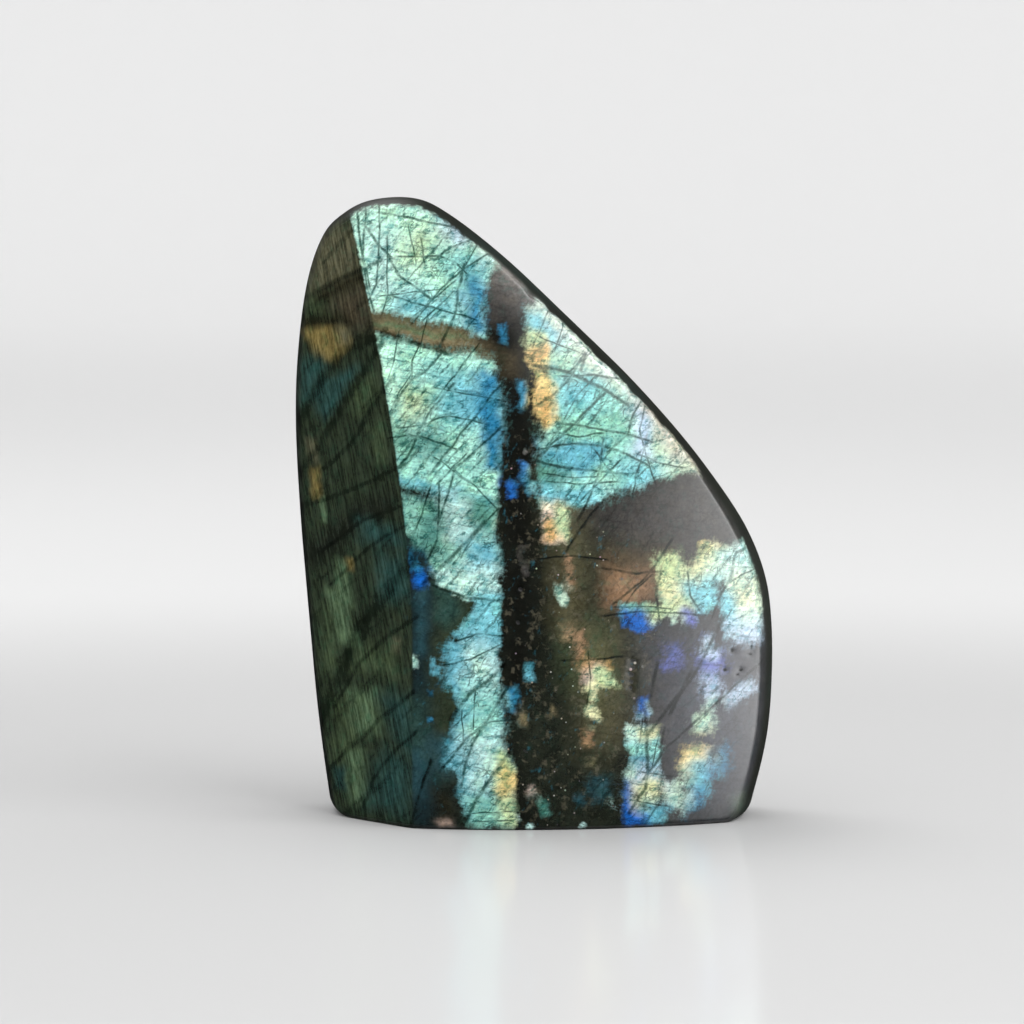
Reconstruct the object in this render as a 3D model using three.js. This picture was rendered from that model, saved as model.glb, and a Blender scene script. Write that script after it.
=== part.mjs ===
// A labradorite freeform: one undivided, polished stone that stands on its own sawn flat base.
// Millimetres, +Z up, +X to the right. The domed face that shows the flash looks along -Y.
import * as THREE from "three";
import { mergeVertices } from "three/addons/utils/BufferGeometryUtils.js";

// The stone's height, and its outline seen from the front as x and z, from the right foot over the top
// to the left foot.
const HEIGHT = 99.4;
const CONTOUR = [
  [35.1, 2.4], [36.8, 9], [37.9, 15.5], [38.35, 24], [38.2, 31.5], [37.35, 38], [35.1, 44.5],
  [31.4, 51], [24.4, 60.5], [15.8, 70.2], [6, 79.8], [-4.6, 89.8], [-13.6, 96.8], [-19.2, 99.3],
  [-26.2, 98.9], [-31, 96.4], [-33.9, 93], [-36.3, 86.2], [-37.8, 76.6], [-38.45, 65],
  [-37.9, 50], [-36.4, 31.5], [-34.9, 15.5], [-33.1, 2.4],
];
const RIGHT_FOOT = { corner: [34.4, 0], end: [32, 0] };
const LEFT_FOOT = { corner: [-32.5, 0], end: [-30.1, 0] };

// The crest line between the left facet and the domed face: upright low down, then leaning left.
const CREST_FOOT_X = -19.2;
const CREST_BEND_Z = 30;
const CREST_RISE = 68;
const CREST_LEAN = 10.5;
const CREST_POWER = 1.6;
const CREST_SOFTNESS = 0.35;
const LEFT_FACET = { slopeAtFoot: 0.86, slopeAtHead: 0.56 };

// The domed front: how far it stands forward, where it stands furthest, and its two radii.
const FRONT = { depth: 17, x: -3, z: 20, radiusX: 65, radiusZ: 330 };

// The back: flatter, with three broad facets that run off towards the right, the top and the left.
const BACK = { depth: 20, x: -2, z: 20, radiusX: 150, radiusZ: 340 };
const BACK_FACETS = [
  { x: 16, z: 30, turn: 12, slope: 0.26, softness: 2.5 },
  { x: -8, z: 72, turn: 96, slope: 0.12, softness: 3 },
  { x: -20, z: 24, turn: 188, slope: 0.06, softness: 3 },
];

// The side wall: how far its two edges lie inside the outline, by x, and where it is widest.
const FRONT_INSET = [[-35, 0.7], [-24, 1.7], [5, 1.2], [25, 1.3], [36, 2.3]];
const BACK_INSET = [[-35, 1.1], [-24, 2.6], [36, 3.2]];
const WIDEST_SHARE = 0.45;
const FRONT_ROUNDING = 1.7;
const BACK_ROUNDING = 2;
const EDGE_RADIUS = 0.6;
const FOOT_BLEND_Z = 8;

// How finely the surface is faceted: stations along each stretch of the outline, and rings.
const STATIONS = { baseRight: 14, rightFoot: 4, contourRight: 40, contourLeft: 25, leftFoot: 4, baseLeft: 5 };
const OUTLINE_SAMPLES = 1500;
const FOOT_SAMPLES = 24;
const FRONT_RINGS = 13;
const WALL_RINGS = 11;
const BACK_RINGS = 11;
const CENTRE_Z = 45;
const SAME_POINT = 1e-3;

const STONE_COLOUR = 0x39463f;
const STONE_ROUGHNESS = 0.12;

/** A number that runs smoothly from 0 at one value to 1 at another. */
function smoothStep(from, to, value) {
  const share = THREE.MathUtils.clamp((value - from) / (to - from), 0, 1);
  return share * share * (3 - 2 * share);
}

/** Zero before a line and the distance past it beyond, with a round turn of the given half width. */
function softFold(distance, softness) {
  if (distance <= -softness) return 0;
  if (distance >= softness) return distance;
  return (distance + softness) ** 2 / (4 * softness);
}

/** The value that a short list of [x, value] pairs gives at x, straight between its pairs. */
function along(pairs, x) {
  if (x <= pairs[0][0]) return pairs[0][1];
  for (let i = 1; i < pairs.length; i += 1) {
    const [before, low] = pairs[i - 1];
    const [after, high] = pairs[i];
    if (x < after) return THREE.MathUtils.lerp(low, high, (x - before) / (after - before));
  }
  return pairs[pairs.length - 1][1];
}

/** Where the crest line stands at a height. */
function crestX(z) {
  const rise = Math.max(z - CREST_BEND_Z, 0) / CREST_RISE;
  return CREST_FOOT_X - CREST_LEAN * rise ** CREST_POWER;
}

/** The depth of the front surface: the dome, folded back past the crest line. */
function frontY(x, z) {
  const dome = (x - FRONT.x) ** 2 / (2 * FRONT.radiusX) + (z - FRONT.z) ** 2 / (2 * FRONT.radiusZ);
  const slope = THREE.MathUtils.lerp(LEFT_FACET.slopeAtFoot, LEFT_FACET.slopeAtHead, z / HEIGHT);
  return dome - FRONT.depth + slope * softFold(crestX(z) - x, CREST_SOFTNESS);
}

/** The depth of the back surface: a flat dome with its broad facets. */
function backY(x, z) {
  const dome = (x - BACK.x) ** 2 / (2 * BACK.radiusX) + (z - BACK.z) ** 2 / (2 * BACK.radiusZ);
  return BACK_FACETS.reduce((depth, facet) => {
    const turn = THREE.MathUtils.degToRad(facet.turn);
    const past = (x - facet.x) * Math.cos(turn) + (z - facet.z) * Math.sin(turn);
    return depth - facet.slope * softFold(past, facet.softness);
  }, BACK.depth - dome);
}

/** The points of a line or curve, evenly spaced along it, without its last one. */
function spaced(points, count) {
  const lengths = [0];
  for (let i = 1; i < points.length; i += 1) {
    lengths.push(lengths[i - 1] + points[i].distanceTo(points[i - 1]));
  }
  const total = lengths[lengths.length - 1];
  let at = 0;
  return Array.from({ length: count }, (_, i) => {
    const wanted = (total * i) / count;
    while (lengths[at + 1] < wanted) at += 1;
    const share = (wanted - lengths[at]) / (lengths[at + 1] - lengths[at]);
    return points[at].clone().lerp(points[at + 1], share);
  });
}

/** The whole outline as stations, counter-clockwise seen from the front, starting at the crest's foot. */
function outlineStations() {
  const contour = new THREE.SplineCurve(CONTOUR.map(([x, z]) => new THREE.Vector2(x, z)));
  const samples = contour.getPoints(OUTLINE_SAMPLES);
  const head = samples.findIndex((point) => point.x < crestX(point.y));
  const foot = (first, corner, last) =>
    new THREE.QuadraticBezierCurve(first, new THREE.Vector2(...corner), last).getPoints(FOOT_SAMPLES);
  const crestFoot = new THREE.Vector2(crestX(0), 0);
  const rightEnd = new THREE.Vector2(...RIGHT_FOOT.end);
  const leftEnd = new THREE.Vector2(...LEFT_FOOT.end);
  return [
    ...spaced([crestFoot, rightEnd], STATIONS.baseRight),
    ...spaced(foot(rightEnd, RIGHT_FOOT.corner, samples[0]), STATIONS.rightFoot),
    ...spaced(samples.slice(0, head + 1), STATIONS.contourRight),
    ...spaced(samples.slice(head), STATIONS.contourLeft),
    ...spaced(foot(samples[samples.length - 1], LEFT_FOOT.corner, leftEnd), STATIONS.leftFoot),
    ...spaced([leftEnd, crestFoot], STATIONS.baseLeft),
  ];
}

/** The direction out of the outline at each station; near the flat base it lies level. */
function outwardDirections(stations) {
  return stations.map((here, i) => {
    const before = stations[(i + stations.length - 1) % stations.length];
    const after = stations[(i + 1) % stations.length];
    const way = after.clone().sub(before).normalize();
    const above = smoothStep(0, FOOT_BLEND_Z, here.y);
    const level = here.x / RIGHT_FOOT.corner[0];
    return new THREE.Vector2(THREE.MathUtils.lerp(level, way.y, above), -way.x * above);
  });
}

/** The half-way point of a round corner between two points, given the sharp corner. */
function rounded(before, corner, after) {
  return before.clone().add(after).multiplyScalar(0.25).addScaledVector(corner, 0.5);
}

/** The line over the stone at one station, from the middle of the front to the middle of the back. */
function profile(station, outward) {
  const inside = (inset) => station.clone().addScaledVector(outward, -inset);
  const onFace = (edge, share, depthAt) => {
    const z = CENTRE_Z + share * (edge.y - CENTRE_Z);
    const x = crestX(z) + share * (edge.x - crestX(edge.y));
    return new THREE.Vector3(x, depthAt(x, z), z);
  };
  const frontInset = along(FRONT_INSET, station.x);
  const backInset = along(BACK_INSET, station.x);
  const frontEdge = inside(frontInset);
  const backEdge = inside(backInset);
  const frontCorner = onFace(frontEdge, 1, frontY);
  const backCorner = onFace(backEdge, 1, backY);
  const wall = (share) => {
    const inset = share < WIDEST_SHARE
      ? frontInset * ((WIDEST_SHARE - share) / WIDEST_SHARE) ** FRONT_ROUNDING
      : backInset * ((share - WIDEST_SHARE) / (1 - WIDEST_SHARE)) ** BACK_ROUNDING;
    const at = inside(inset);
    return new THREE.Vector3(at.x, THREE.MathUtils.lerp(frontCorner.y, backCorner.y, share), at.y);
  };
  const faceReach = Math.hypot(frontEdge.x - crestX(frontEdge.y), frontEdge.y - CENTRE_Z);
  const wallEnd = EDGE_RADIUS / (backCorner.y - frontCorner.y);
  const faceEnd = 1 - EDGE_RADIUS / faceReach;
  const points = [];
  for (let i = 1; i <= FRONT_RINGS; i += 1) {
    points.push(onFace(frontEdge, (faceEnd * i) / FRONT_RINGS, frontY));
  }
  points.push(rounded(points[points.length - 1], frontCorner, wall(wallEnd)));
  for (let i = 0; i <= WALL_RINGS; i += 1) {
    points.push(wall(wallEnd + ((1 - 2 * wallEnd) * i) / WALL_RINGS));
  }
  points.push(rounded(points[points.length - 1], backCorner, onFace(backEdge, faceEnd, backY)));
  for (let i = BACK_RINGS; i > 0; i -= 1) {
    points.push(onFace(backEdge, (faceEnd * i) / BACK_RINGS, backY));
  }
  return points;
}

/** The stone's closed surface: profiles side by side round the outline, joined in two end points. */
function stoneGeometry() {
  const stations = outlineStations();
  const outward = outwardDirections(stations);
  const profiles = stations.map((station, i) => profile(station, outward[i]));
  const rings = profiles[0].length;
  const middleX = crestX(CENTRE_Z);
  const frontMiddle = new THREE.Vector3(middleX, frontY(middleX, CENTRE_Z), CENTRE_Z);
  const backMiddle = new THREE.Vector3(middleX, backY(middleX, CENTRE_Z), CENTRE_Z);
  const corners = [];
  profiles.forEach((line, i) => {
    const next = profiles[(i + 1) % profiles.length];
    corners.push(frontMiddle, line[0], next[0]);
    for (let k = 0; k < rings - 1; k += 1) {
      corners.push(line[k], line[k + 1], next[k + 1]);
      corners.push(line[k], next[k + 1], next[k]);
    }
    corners.push(line[rings - 1], backMiddle, next[rings - 1]);
  });
  const geometry = new THREE.BufferGeometry().setFromPoints(corners);
  geometry.computeBoundingBox();
  const middle = geometry.boundingBox.getCenter(new THREE.Vector3());
  geometry.translate(-middle.x, -middle.y, 0);
  const stone = mergeVertices(geometry, SAME_POINT);
  stone.computeVertexNormals();
  return stone;
}

const labradorite = new THREE.MeshStandardMaterial({
  name: "labradorite",
  color: STONE_COLOUR,
  roughness: STONE_ROUGHNESS,
  metalness: 0,
});

const stone = new THREE.Mesh(stoneGeometry(), labradorite);
stone.name = "stone";

const freeform = new THREE.Group();
freeform.name = "labradorite_freeform";
freeform.add(stone);

export default freeform;
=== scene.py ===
"""A labradorite freeform: one polished stone with a domed flashing face, standing on its sawn base."""

import functools
import itertools
import logging
import math
from collections.abc import Iterable
from dataclasses import dataclass
from enum import Enum
from typing import Union

import bpy
import numpy as np
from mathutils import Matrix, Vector

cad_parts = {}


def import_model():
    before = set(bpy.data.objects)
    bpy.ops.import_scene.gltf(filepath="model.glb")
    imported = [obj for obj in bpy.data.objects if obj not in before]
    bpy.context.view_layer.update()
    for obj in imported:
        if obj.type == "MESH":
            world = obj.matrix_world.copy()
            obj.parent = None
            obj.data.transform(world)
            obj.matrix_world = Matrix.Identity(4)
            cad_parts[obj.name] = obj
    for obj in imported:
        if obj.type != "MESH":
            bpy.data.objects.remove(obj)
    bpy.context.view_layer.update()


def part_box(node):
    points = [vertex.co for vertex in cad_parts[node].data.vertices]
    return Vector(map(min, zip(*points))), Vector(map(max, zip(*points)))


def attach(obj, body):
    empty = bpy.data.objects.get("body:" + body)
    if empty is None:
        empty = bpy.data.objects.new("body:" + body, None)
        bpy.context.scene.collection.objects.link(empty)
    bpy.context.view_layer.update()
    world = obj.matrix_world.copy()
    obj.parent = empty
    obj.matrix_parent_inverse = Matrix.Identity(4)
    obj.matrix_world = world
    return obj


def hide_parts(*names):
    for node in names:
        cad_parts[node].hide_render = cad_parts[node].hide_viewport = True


LOG = logging.getLogger("labradorite")
MM = 0.001
AXES = 3
NODE = "stone"

Point = tuple[float, float]
Tint = tuple[float, float, float]
Span = tuple[float, float]
Setting = str | int | float | bool
Feed = Union["Wire", float, tuple[float, ...]]


def smooth_step(start: float, stop: float, value: np.ndarray) -> np.ndarray:
    """Return values that run smoothly from 0 at start to 1 at stop."""
    share = np.clip((value - start) / (stop - start), 0.0, 1.0)
    return share * share * (3.0 - 2.0 * share)


def soft_fold(distance: np.ndarray, softness: float) -> np.ndarray:
    """Return the distance past a line, zero before it, with a round turn of the given half width."""
    turning = (distance + softness) ** 2 / (4.0 * softness)
    return np.where(distance >= softness, distance, np.where(distance <= -softness, 0.0, turning))


@dataclass(frozen=True)
class Dome:
    """A gently curved face: how far it stands out, where it is highest, and its two radii, in mm."""

    depth: float
    x: float
    z: float
    radius_x: float
    radius_z: float

    def fall(self, x: np.ndarray, z: np.ndarray) -> np.ndarray:
        """Return how far the face has fallen away from its highest point."""
        return (x - self.x) ** 2 / (2.0 * self.radius_x) + (z - self.z) ** 2 / (2.0 * self.radius_z)


@dataclass(frozen=True)
class BroadFacet:
    """A broad flat of the back that starts at a point and runs off in one direction."""

    x: float
    z: float
    turn: float
    slope: float
    softness: float

    def fall(self, x: np.ndarray, z: np.ndarray) -> np.ndarray:
        """Return how far the facet lies under the dome."""
        turn = math.radians(self.turn)
        past = (x - self.x) * math.cos(turn) + (z - self.z) * math.sin(turn)
        return self.slope * soft_fold(past, self.softness)


@dataclass(frozen=True)
class Crest:
    """The crest line between the left facet and the domed face, upright low down, then leaning left."""

    foot_x: float = -19.2
    bend_z: float = 30.0
    rise: float = 68.0
    lean: float = 10.5
    power: float = 1.6
    softness: float = 0.35

    def x_at(self, z: np.ndarray) -> np.ndarray:
        """Return where the crest stands at a height."""
        rise = np.maximum(np.asarray(z, dtype=float) - self.bend_z, 0.0) / self.rise
        return self.foot_x - self.lean * rise**self.power


@dataclass(frozen=True)
class Notch:
    """A small chip in the front edge: where it is, how long and how deep, in mm."""

    x: float
    z: float
    length: float
    depth: float


class Zone(Enum):
    """The faces of the stone, in the order in which they meet along a profile."""

    FRONT = 0
    WALL = 1
    BACK = 2


@dataclass
class StoneShape:
    """The form of the stone in millimetres, as rings round a front and a back middle point."""

    height: float = 99.4
    contour: tuple[Point, ...] = (
        (35.1, 2.4), (36.8, 9), (37.9, 15.5), (38.35, 24), (38.2, 31.5), (37.35, 38), (35.1, 44.5),
        (31.4, 51), (24.4, 60.5), (15.8, 70.2), (6, 79.8), (-4.6, 89.8), (-13.6, 96.8), (-19.2, 99.3),
        (-26.2, 98.9), (-31, 96.4), (-33.9, 93), (-36.3, 86.2), (-37.8, 76.6), (-38.45, 65),
        (-37.9, 50), (-36.4, 31.5), (-34.9, 15.5), (-33.1, 2.4),
    )
    right_corner: Point = (34.4, 0.0)
    right_end: Point = (32.0, 0.0)
    left_corner: Point = (-32.5, 0.0)
    left_end: Point = (-30.1, 0.0)
    crest: Crest = Crest()
    facet_slope_foot: float = 0.86
    facet_slope_head: float = 0.56
    front: Dome = Dome(17.0, -3.0, 20.0, 65.0, 330.0)
    back: Dome = Dome(20.0, -2.0, 20.0, 150.0, 340.0)
    back_facets: tuple[BroadFacet, ...] = (
        BroadFacet(16.0, 30.0, 12.0, 0.26, 2.5),
        BroadFacet(-8.0, 72.0, 96.0, 0.12, 3.0),
        BroadFacet(-20.0, 24.0, 188.0, 0.06, 3.0),
    )
    front_inset: tuple[Point, ...] = ((-35, 0.7), (-24, 1.7), (5, 1.2), (25, 1.3), (36, 2.3))
    back_inset: tuple[Point, ...] = ((-35, 1.1), (-24, 2.6), (36, 3.2))
    widest_share: float = 0.45
    front_rounding: float = 1.7
    back_rounding: float = 2.0
    edge_radius: float = 0.42
    foot_edge_radius: float = 0.8
    foot_blend: float = 8.0
    centre_z: float = 45.0
    stations: tuple[int, ...] = (84, 14, 256, 144, 14, 26)
    front_rings: int = 104
    wall_rings: int = 16
    back_rings: int = 34
    fillet_rings: int = 4
    notches: tuple[Notch, ...] = (
        Notch(-10.4, 94.4, 1.6, 0.30), Notch(0.2, 85.2, 2.0, 0.34), Notch(3.4, 82.3, 1.3, 0.30),
        Notch(10.9, 75.3, 2.4, 0.34), Notch(16.4, 69.6, 1.6, 0.28), Notch(20.8, 64.9, 2.2, 0.30),
    )

    def front_y(self, x: np.ndarray, z: np.ndarray) -> np.ndarray:
        """Return the depth of the front: the dome, folded back past the crest."""
        head = np.asarray(z) / self.height
        slope = self.facet_slope_foot + (self.facet_slope_head - self.facet_slope_foot) * head
        fold = soft_fold(self.crest.x_at(z) - x, self.crest.softness)
        return self.front.fall(x, z) - self.front.depth + slope * fold

    def back_y(self, x: np.ndarray, z: np.ndarray) -> np.ndarray:
        """Return the depth of the back: a flat dome with its broad facets."""
        fall = self.back.fall(x, z)
        for facet in self.back_facets:
            fall = fall + facet.fall(x, z)
        return self.back.depth - fall

    def contour_samples(self, steps: int = 1500) -> np.ndarray:
        """Return the upper outline as a fine line through its points.

        Args:
            steps: How many short pieces the line has.

        Returns:
            An array of x and z, from the right foot over the top to the left foot.
        """
        points = np.array(self.contour, dtype=float)
        at = np.linspace(0.0, len(points) - 1.0, steps + 1)
        first = np.minimum(at.astype(int), len(points) - 2)
        share = (at - first)[:, None]
        p0 = points[np.maximum(first - 1, 0)]
        p1, p2 = points[first], points[first + 1]
        p3 = points[np.minimum(first + 2, len(points) - 1)]
        leave, arrive = 0.5 * (p2 - p0), 0.5 * (p3 - p1)
        cubic = (2.0 * (p1 - p2) + leave + arrive) * share**3
        square = (-3.0 * (p1 - p2) - 2.0 * leave - arrive) * share**2
        return cubic + square + leave * share + p1

    def outline(self) -> np.ndarray:
        """Return the stations round the whole outline, counter-clockwise seen from the front."""
        samples = self.contour_samples()
        head = int(np.argmax(samples[:, 0] < self.crest.x_at(samples[:, 1])))
        foot = np.array((self.crest.foot_x, 0.0))
        stretches = (
            np.array((foot, self.right_end)),
            corner_curve(self.right_end, self.right_corner, samples[0]),
            samples[: head + 1],
            samples[head:],
            corner_curve(samples[-1], self.left_corner, self.left_end),
            np.array((self.left_end, foot)),
        )
        return np.concatenate([spaced(line, count) for line, count in zip(stretches, self.stations)])

    def outward(self, line: np.ndarray) -> np.ndarray:
        """Return the direction out of the outline at each station; near the flat base it lies level."""
        way = np.roll(line, -1, axis=0) - np.roll(line, 1, axis=0)
        way /= np.linalg.norm(way, axis=1, keepdims=True)
        above = smooth_step(0.0, self.foot_blend, line[:, 1])
        level = line[:, 0] / self.right_corner[0]
        return np.stack((level + (way[:, 1] - level) * above, -way[:, 0] * above), axis=1)

    def chipping(self, line: np.ndarray) -> np.ndarray:
        """Return how much deeper the front edge lies at each station because of its chips."""
        depth = np.zeros(len(line))
        for notch in self.notches:
            away = np.hypot(line[:, 0] - notch.x, line[:, 1] - notch.z) / (notch.length / 2.0)
            depth += notch.depth * np.exp(-(away**2))
        return depth

    def on_face(self, edge: np.ndarray, share: np.ndarray, face: Zone) -> np.ndarray:
        """Return points of the front or back between its middle and its edge.

        Args:
            edge: The x and z of the face's edge at each station.
            share: How far out each ring lies, from 0 at the middle to 1 at the edge.
            face: Which of the two faces is meant.

        Returns:
            An array of stations by rings by x, y and z.
        """
        z = self.centre_z + share * (edge[:, None, 1] - self.centre_z)
        x = self.crest.x_at(z) + share * (edge[:, None, 0] - self.crest.x_at(edge[:, 1])[:, None])
        y = self.front_y(x, z) if face is Zone.FRONT else self.back_y(x, z)
        return np.stack((x, y, z), axis=2)

    def on_wall(self, line: np.ndarray, out: np.ndarray, insets: tuple[np.ndarray, np.ndarray],
                depths: tuple[np.ndarray, np.ndarray], share: np.ndarray) -> np.ndarray:
        """Return points of the side wall.

        Args:
            line: The outline's stations.
            out: The direction out of the outline at each station.
            insets: How far the wall's front and back edges lie inside the outline.
            depths: The depth of the wall's front and back edges.
            share: How far back each ring lies, from 0 at the front edge to 1 at the back edge.

        Returns:
            An array of stations by rings by x, y and z.
        """
        before = np.clip((self.widest_share - share) / self.widest_share, 0.0, 1.0)
        behind = np.clip((share - self.widest_share) / (1.0 - self.widest_share), 0.0, 1.0)
        inset = insets[0][:, None] * before**self.front_rounding
        inset = inset + insets[1][:, None] * behind**self.back_rounding
        at = line[:, None, :] - out[:, None, :] * inset[:, :, None]
        y = depths[0][:, None] + (depths[1] - depths[0])[:, None] * share
        return np.stack((at[:, :, 0], y, at[:, :, 1]), axis=2)

    def surface(self) -> tuple[np.ndarray, np.ndarray]:
        """Return the rings of the surface and the zone of each ring.

        Returns:
            An array of stations by rings by x, y and z, and the zone number of each ring.
        """
        line = self.outline()
        out = self.outward(line)
        insets = (
            np.interp(line[:, 0], *zip(*self.front_inset)) + self.chipping(line),
            np.interp(line[:, 0], *zip(*self.back_inset)),
        )
        front_edge = line - out * insets[0][:, None]
        back_edge = line - out * insets[1][:, None]
        front_corner = self.on_face(front_edge, np.ones((len(line), 1)), Zone.FRONT)
        back_corner = self.on_face(back_edge, np.ones((len(line), 1)), Zone.BACK)
        depths = (front_corner[:, 0, 1], back_corner[:, 0, 1])
        low = 1.0 - smooth_step(0.0, self.foot_blend, line[:, 1])
        radius = self.edge_radius + (self.foot_edge_radius - self.edge_radius) * low
        aside = front_edge[:, 0] - self.crest.x_at(front_edge[:, 1])
        reach = np.hypot(aside, front_edge[:, 1] - self.centre_z)
        face_end = (1.0 - radius / reach)[:, None]
        wall_start = (radius / (depths[1] - depths[0]))[:, None]
        front = self.on_face(front_edge, face_end * ring_shares(self.front_rings), Zone.FRONT)
        back = self.on_face(back_edge, face_end * ring_shares(self.back_rings), Zone.BACK)[:, ::-1]
        along = np.linspace(0.0, 1.0, self.wall_rings + 1)[None, :]
        wall = self.on_wall(line, out, insets, depths, wall_start + (1.0 - 2.0 * wall_start) * along)
        front_turn = fillet(front[:, -1], front_corner[:, 0], wall[:, 0], self.fillet_rings)
        back_turn = fillet(wall[:, -1], back_corner[:, 0], back[:, 0], self.fillet_rings)
        parts = (front, front_turn, wall, back_turn, back)
        zones = (Zone.FRONT, Zone.WALL, Zone.WALL, Zone.WALL, Zone.BACK)
        numbers = [np.full(part.shape[1], zone.value) for part, zone in zip(parts, zones)]
        return np.concatenate(parts, axis=1), np.concatenate(numbers)


def corner_curve(first: Point, corner: Point, last: Point, steps: int = 24) -> np.ndarray:
    """Return a round corner between two points, given the sharp corner."""
    t = np.linspace(0.0, 1.0, steps + 1)[:, None]
    start, middle, stop = (np.asarray(p, dtype=float) for p in (first, corner, last))
    return start * (1.0 - t) ** 2 + middle * 2.0 * t * (1.0 - t) + stop * t**2


def spaced(line: np.ndarray, count: int) -> np.ndarray:
    """Return evenly spaced points along a line, without its last one."""
    steps = np.linalg.norm(np.diff(line, axis=0), axis=1)
    length = np.concatenate(((0.0,), np.cumsum(steps)))
    wanted = np.arange(count) / count * length[-1]
    return np.stack([np.interp(wanted, length, line[:, k]) for k in range(2)], axis=1)


def ring_shares(count: int) -> np.ndarray:
    """Return how far out each ring of a face lies, from the first ring to the edge."""
    return (np.arange(1, count + 1) / count)[None, :]


def fillet(before: np.ndarray, corner: np.ndarray, after: np.ndarray, count: int) -> np.ndarray:
    """Return the rings of a round edge between two rings, given the sharp edge between them."""
    t = (np.arange(1, count + 1) / (count + 1))[None, :, None]
    return before[:, None] * (1 - t) ** 2 + corner[:, None] * 2 * t * (1 - t) + after[:, None] * t**2


class Tone(Enum):
    """The colours in and on the stone, as red, green and blue out of 255."""

    PITCH = (19, 20, 17)
    MATRIX = (33, 37, 30)
    UMBER = (34, 32, 20)
    COCOA = (70, 63, 48)
    BOTTLE = (46, 54, 40)
    EDGE = (34, 38, 30)
    NIGHT = (26, 42, 46)
    OLIVE = (88, 85, 64)
    MOSS = (66, 78, 54)
    FERN = (90, 110, 80)
    DEEP_TEAL = (46, 72, 66)
    PEACOCK = (44, 76, 84)
    SMOKE = (62, 60, 58)
    SLATE = (54, 57, 66)
    ASH = (132, 128, 124)
    BRONZE = (126, 109, 64)
    TAN = (124, 112, 84)
    COPPER = (146, 116, 90)
    ROSE = (180, 158, 146)
    AMBER = (204, 158, 90)
    GOLD = (222, 194, 118)
    CREAM = (216, 205, 175)
    LEMON = (204, 204, 156)
    LIME = (184, 202, 150)
    SAGE = (178, 206, 184)
    TEAL = (84, 136, 126)
    JADE = (128, 192, 174)
    AQUA = (142, 208, 194)
    MINT = (188, 240, 214)
    PEARL = (178, 218, 212)
    CYAN = (108, 188, 200)
    SKY = (88, 168, 186)
    AZURE = (44, 120, 158)
    ROYAL = (22, 92, 176)
    VIOLET = (88, 96, 164)
    LAVENDER = (170, 192, 214)
    HAZE = (184, 196, 186)
    FAWN = (182, 172, 154)

    def linear(self) -> np.ndarray:
        """Return the colour as shares of light."""
        share = np.array(self.value) / 255.0
        return np.where(share <= 0.04045, share / 12.92, ((share + 0.055) / 1.055) ** 2.4)


@dataclass(frozen=True)
class Patch:
    """A patch of one tone: its outline seen from the front, and the half width of its soft edge, in mm."""

    tone: Tone
    outline: tuple[Point, ...]
    soft: float = 0.5

    def inside(self, at: np.ndarray) -> np.ndarray:
        """Return how far each point lies inside the outline, or less than zero outside it.

        Args:
            at: The x and z of the points.

        Returns:
            The distances, in mm.
        """
        corners = np.array(self.outline, dtype=float)
        ends = np.roll(corners, -1, axis=0)
        nearest = np.full(len(at), np.inf)
        within = np.zeros(len(at), dtype=bool)
        for start, stop in zip(corners, ends):
            nearest = np.minimum(nearest, np.hypot(*(at - along(at, start, stop)[0]).T))
            spans = (start[1] > at[:, 1]) != (stop[1] > at[:, 1])
            rise = stop[1] - start[1]
            meets = start[0] + (at[:, 1] - start[1]) / (rise if rise else 1.0) * (stop[0] - start[0])
            within ^= spans & (at[:, 0] < meets)
        return np.where(within, nearest, -nearest)


@dataclass(frozen=True)
class Crack:
    """A healed crack: its run seen from the front, and half its width, in mm."""

    run: tuple[Point, ...]
    half_width: float = 0.15

    def distance(self, at: np.ndarray) -> tuple[np.ndarray, np.ndarray]:
        """Return how far points lie from the crack.

        Args:
            at: The x and z of the points.

        Returns:
            The distance to its line, with a sign for the side, and the distance to its nearest point.
        """
        nearest = np.full(len(at), np.inf)
        side = np.zeros(len(at))
        for start, stop in zip(self.run[:-1], self.run[1:]):
            foot, way = along(at, np.array(start), np.array(stop))
            away = np.hypot(*(at - foot).T)
            closer = away < nearest
            nearest = np.where(closer, away, nearest)
            offset = at - np.array(start)
            side = np.where(closer, offset[:, 0] * way[1] - offset[:, 1] * way[0], side)
        return side, nearest


def along(at: np.ndarray, start: np.ndarray, stop: np.ndarray) -> tuple[np.ndarray, np.ndarray]:
    """Return the nearest points of a straight line to some points.

    Args:
        at: The points.
        start: Where the line starts.
        stop: Where it ends.

    Returns:
        The nearest points, and the direction of the line.
    """
    run = stop - start
    length = float(np.hypot(*run)) or 1.0
    way = run / length
    share = np.clip((at - start) @ way, 0.0, length)
    return start + share[:, None] * way, way


def wander(at: np.ndarray, size: float, seed: int) -> np.ndarray:
    """Return a smooth random value from -1 to 1 at each point.

    Args:
        at: The x and z of the points, in mm.
        size: How far apart the random values lie, in mm.
        seed: Which of the random fields is wanted.

    Returns:
        One value for each point.
    """
    cells = 256
    lattice = np.random.RandomState(seed).uniform(-1.0, 1.0, (cells, cells))
    place = at / size + cells / 2.0
    corner = np.floor(place).astype(int)
    share = place - corner
    share = share * share * (3.0 - 2.0 * share)
    value = np.zeros(len(at))
    for i, j in itertools.product((0, 1), repeat=2):
        weight = np.abs(1 - i - share[:, 0]) * np.abs(1 - j - share[:, 1])
        value += weight * lattice[(corner[:, 0] + i) % cells, (corner[:, 1] + j) % cells]
    return value


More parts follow.
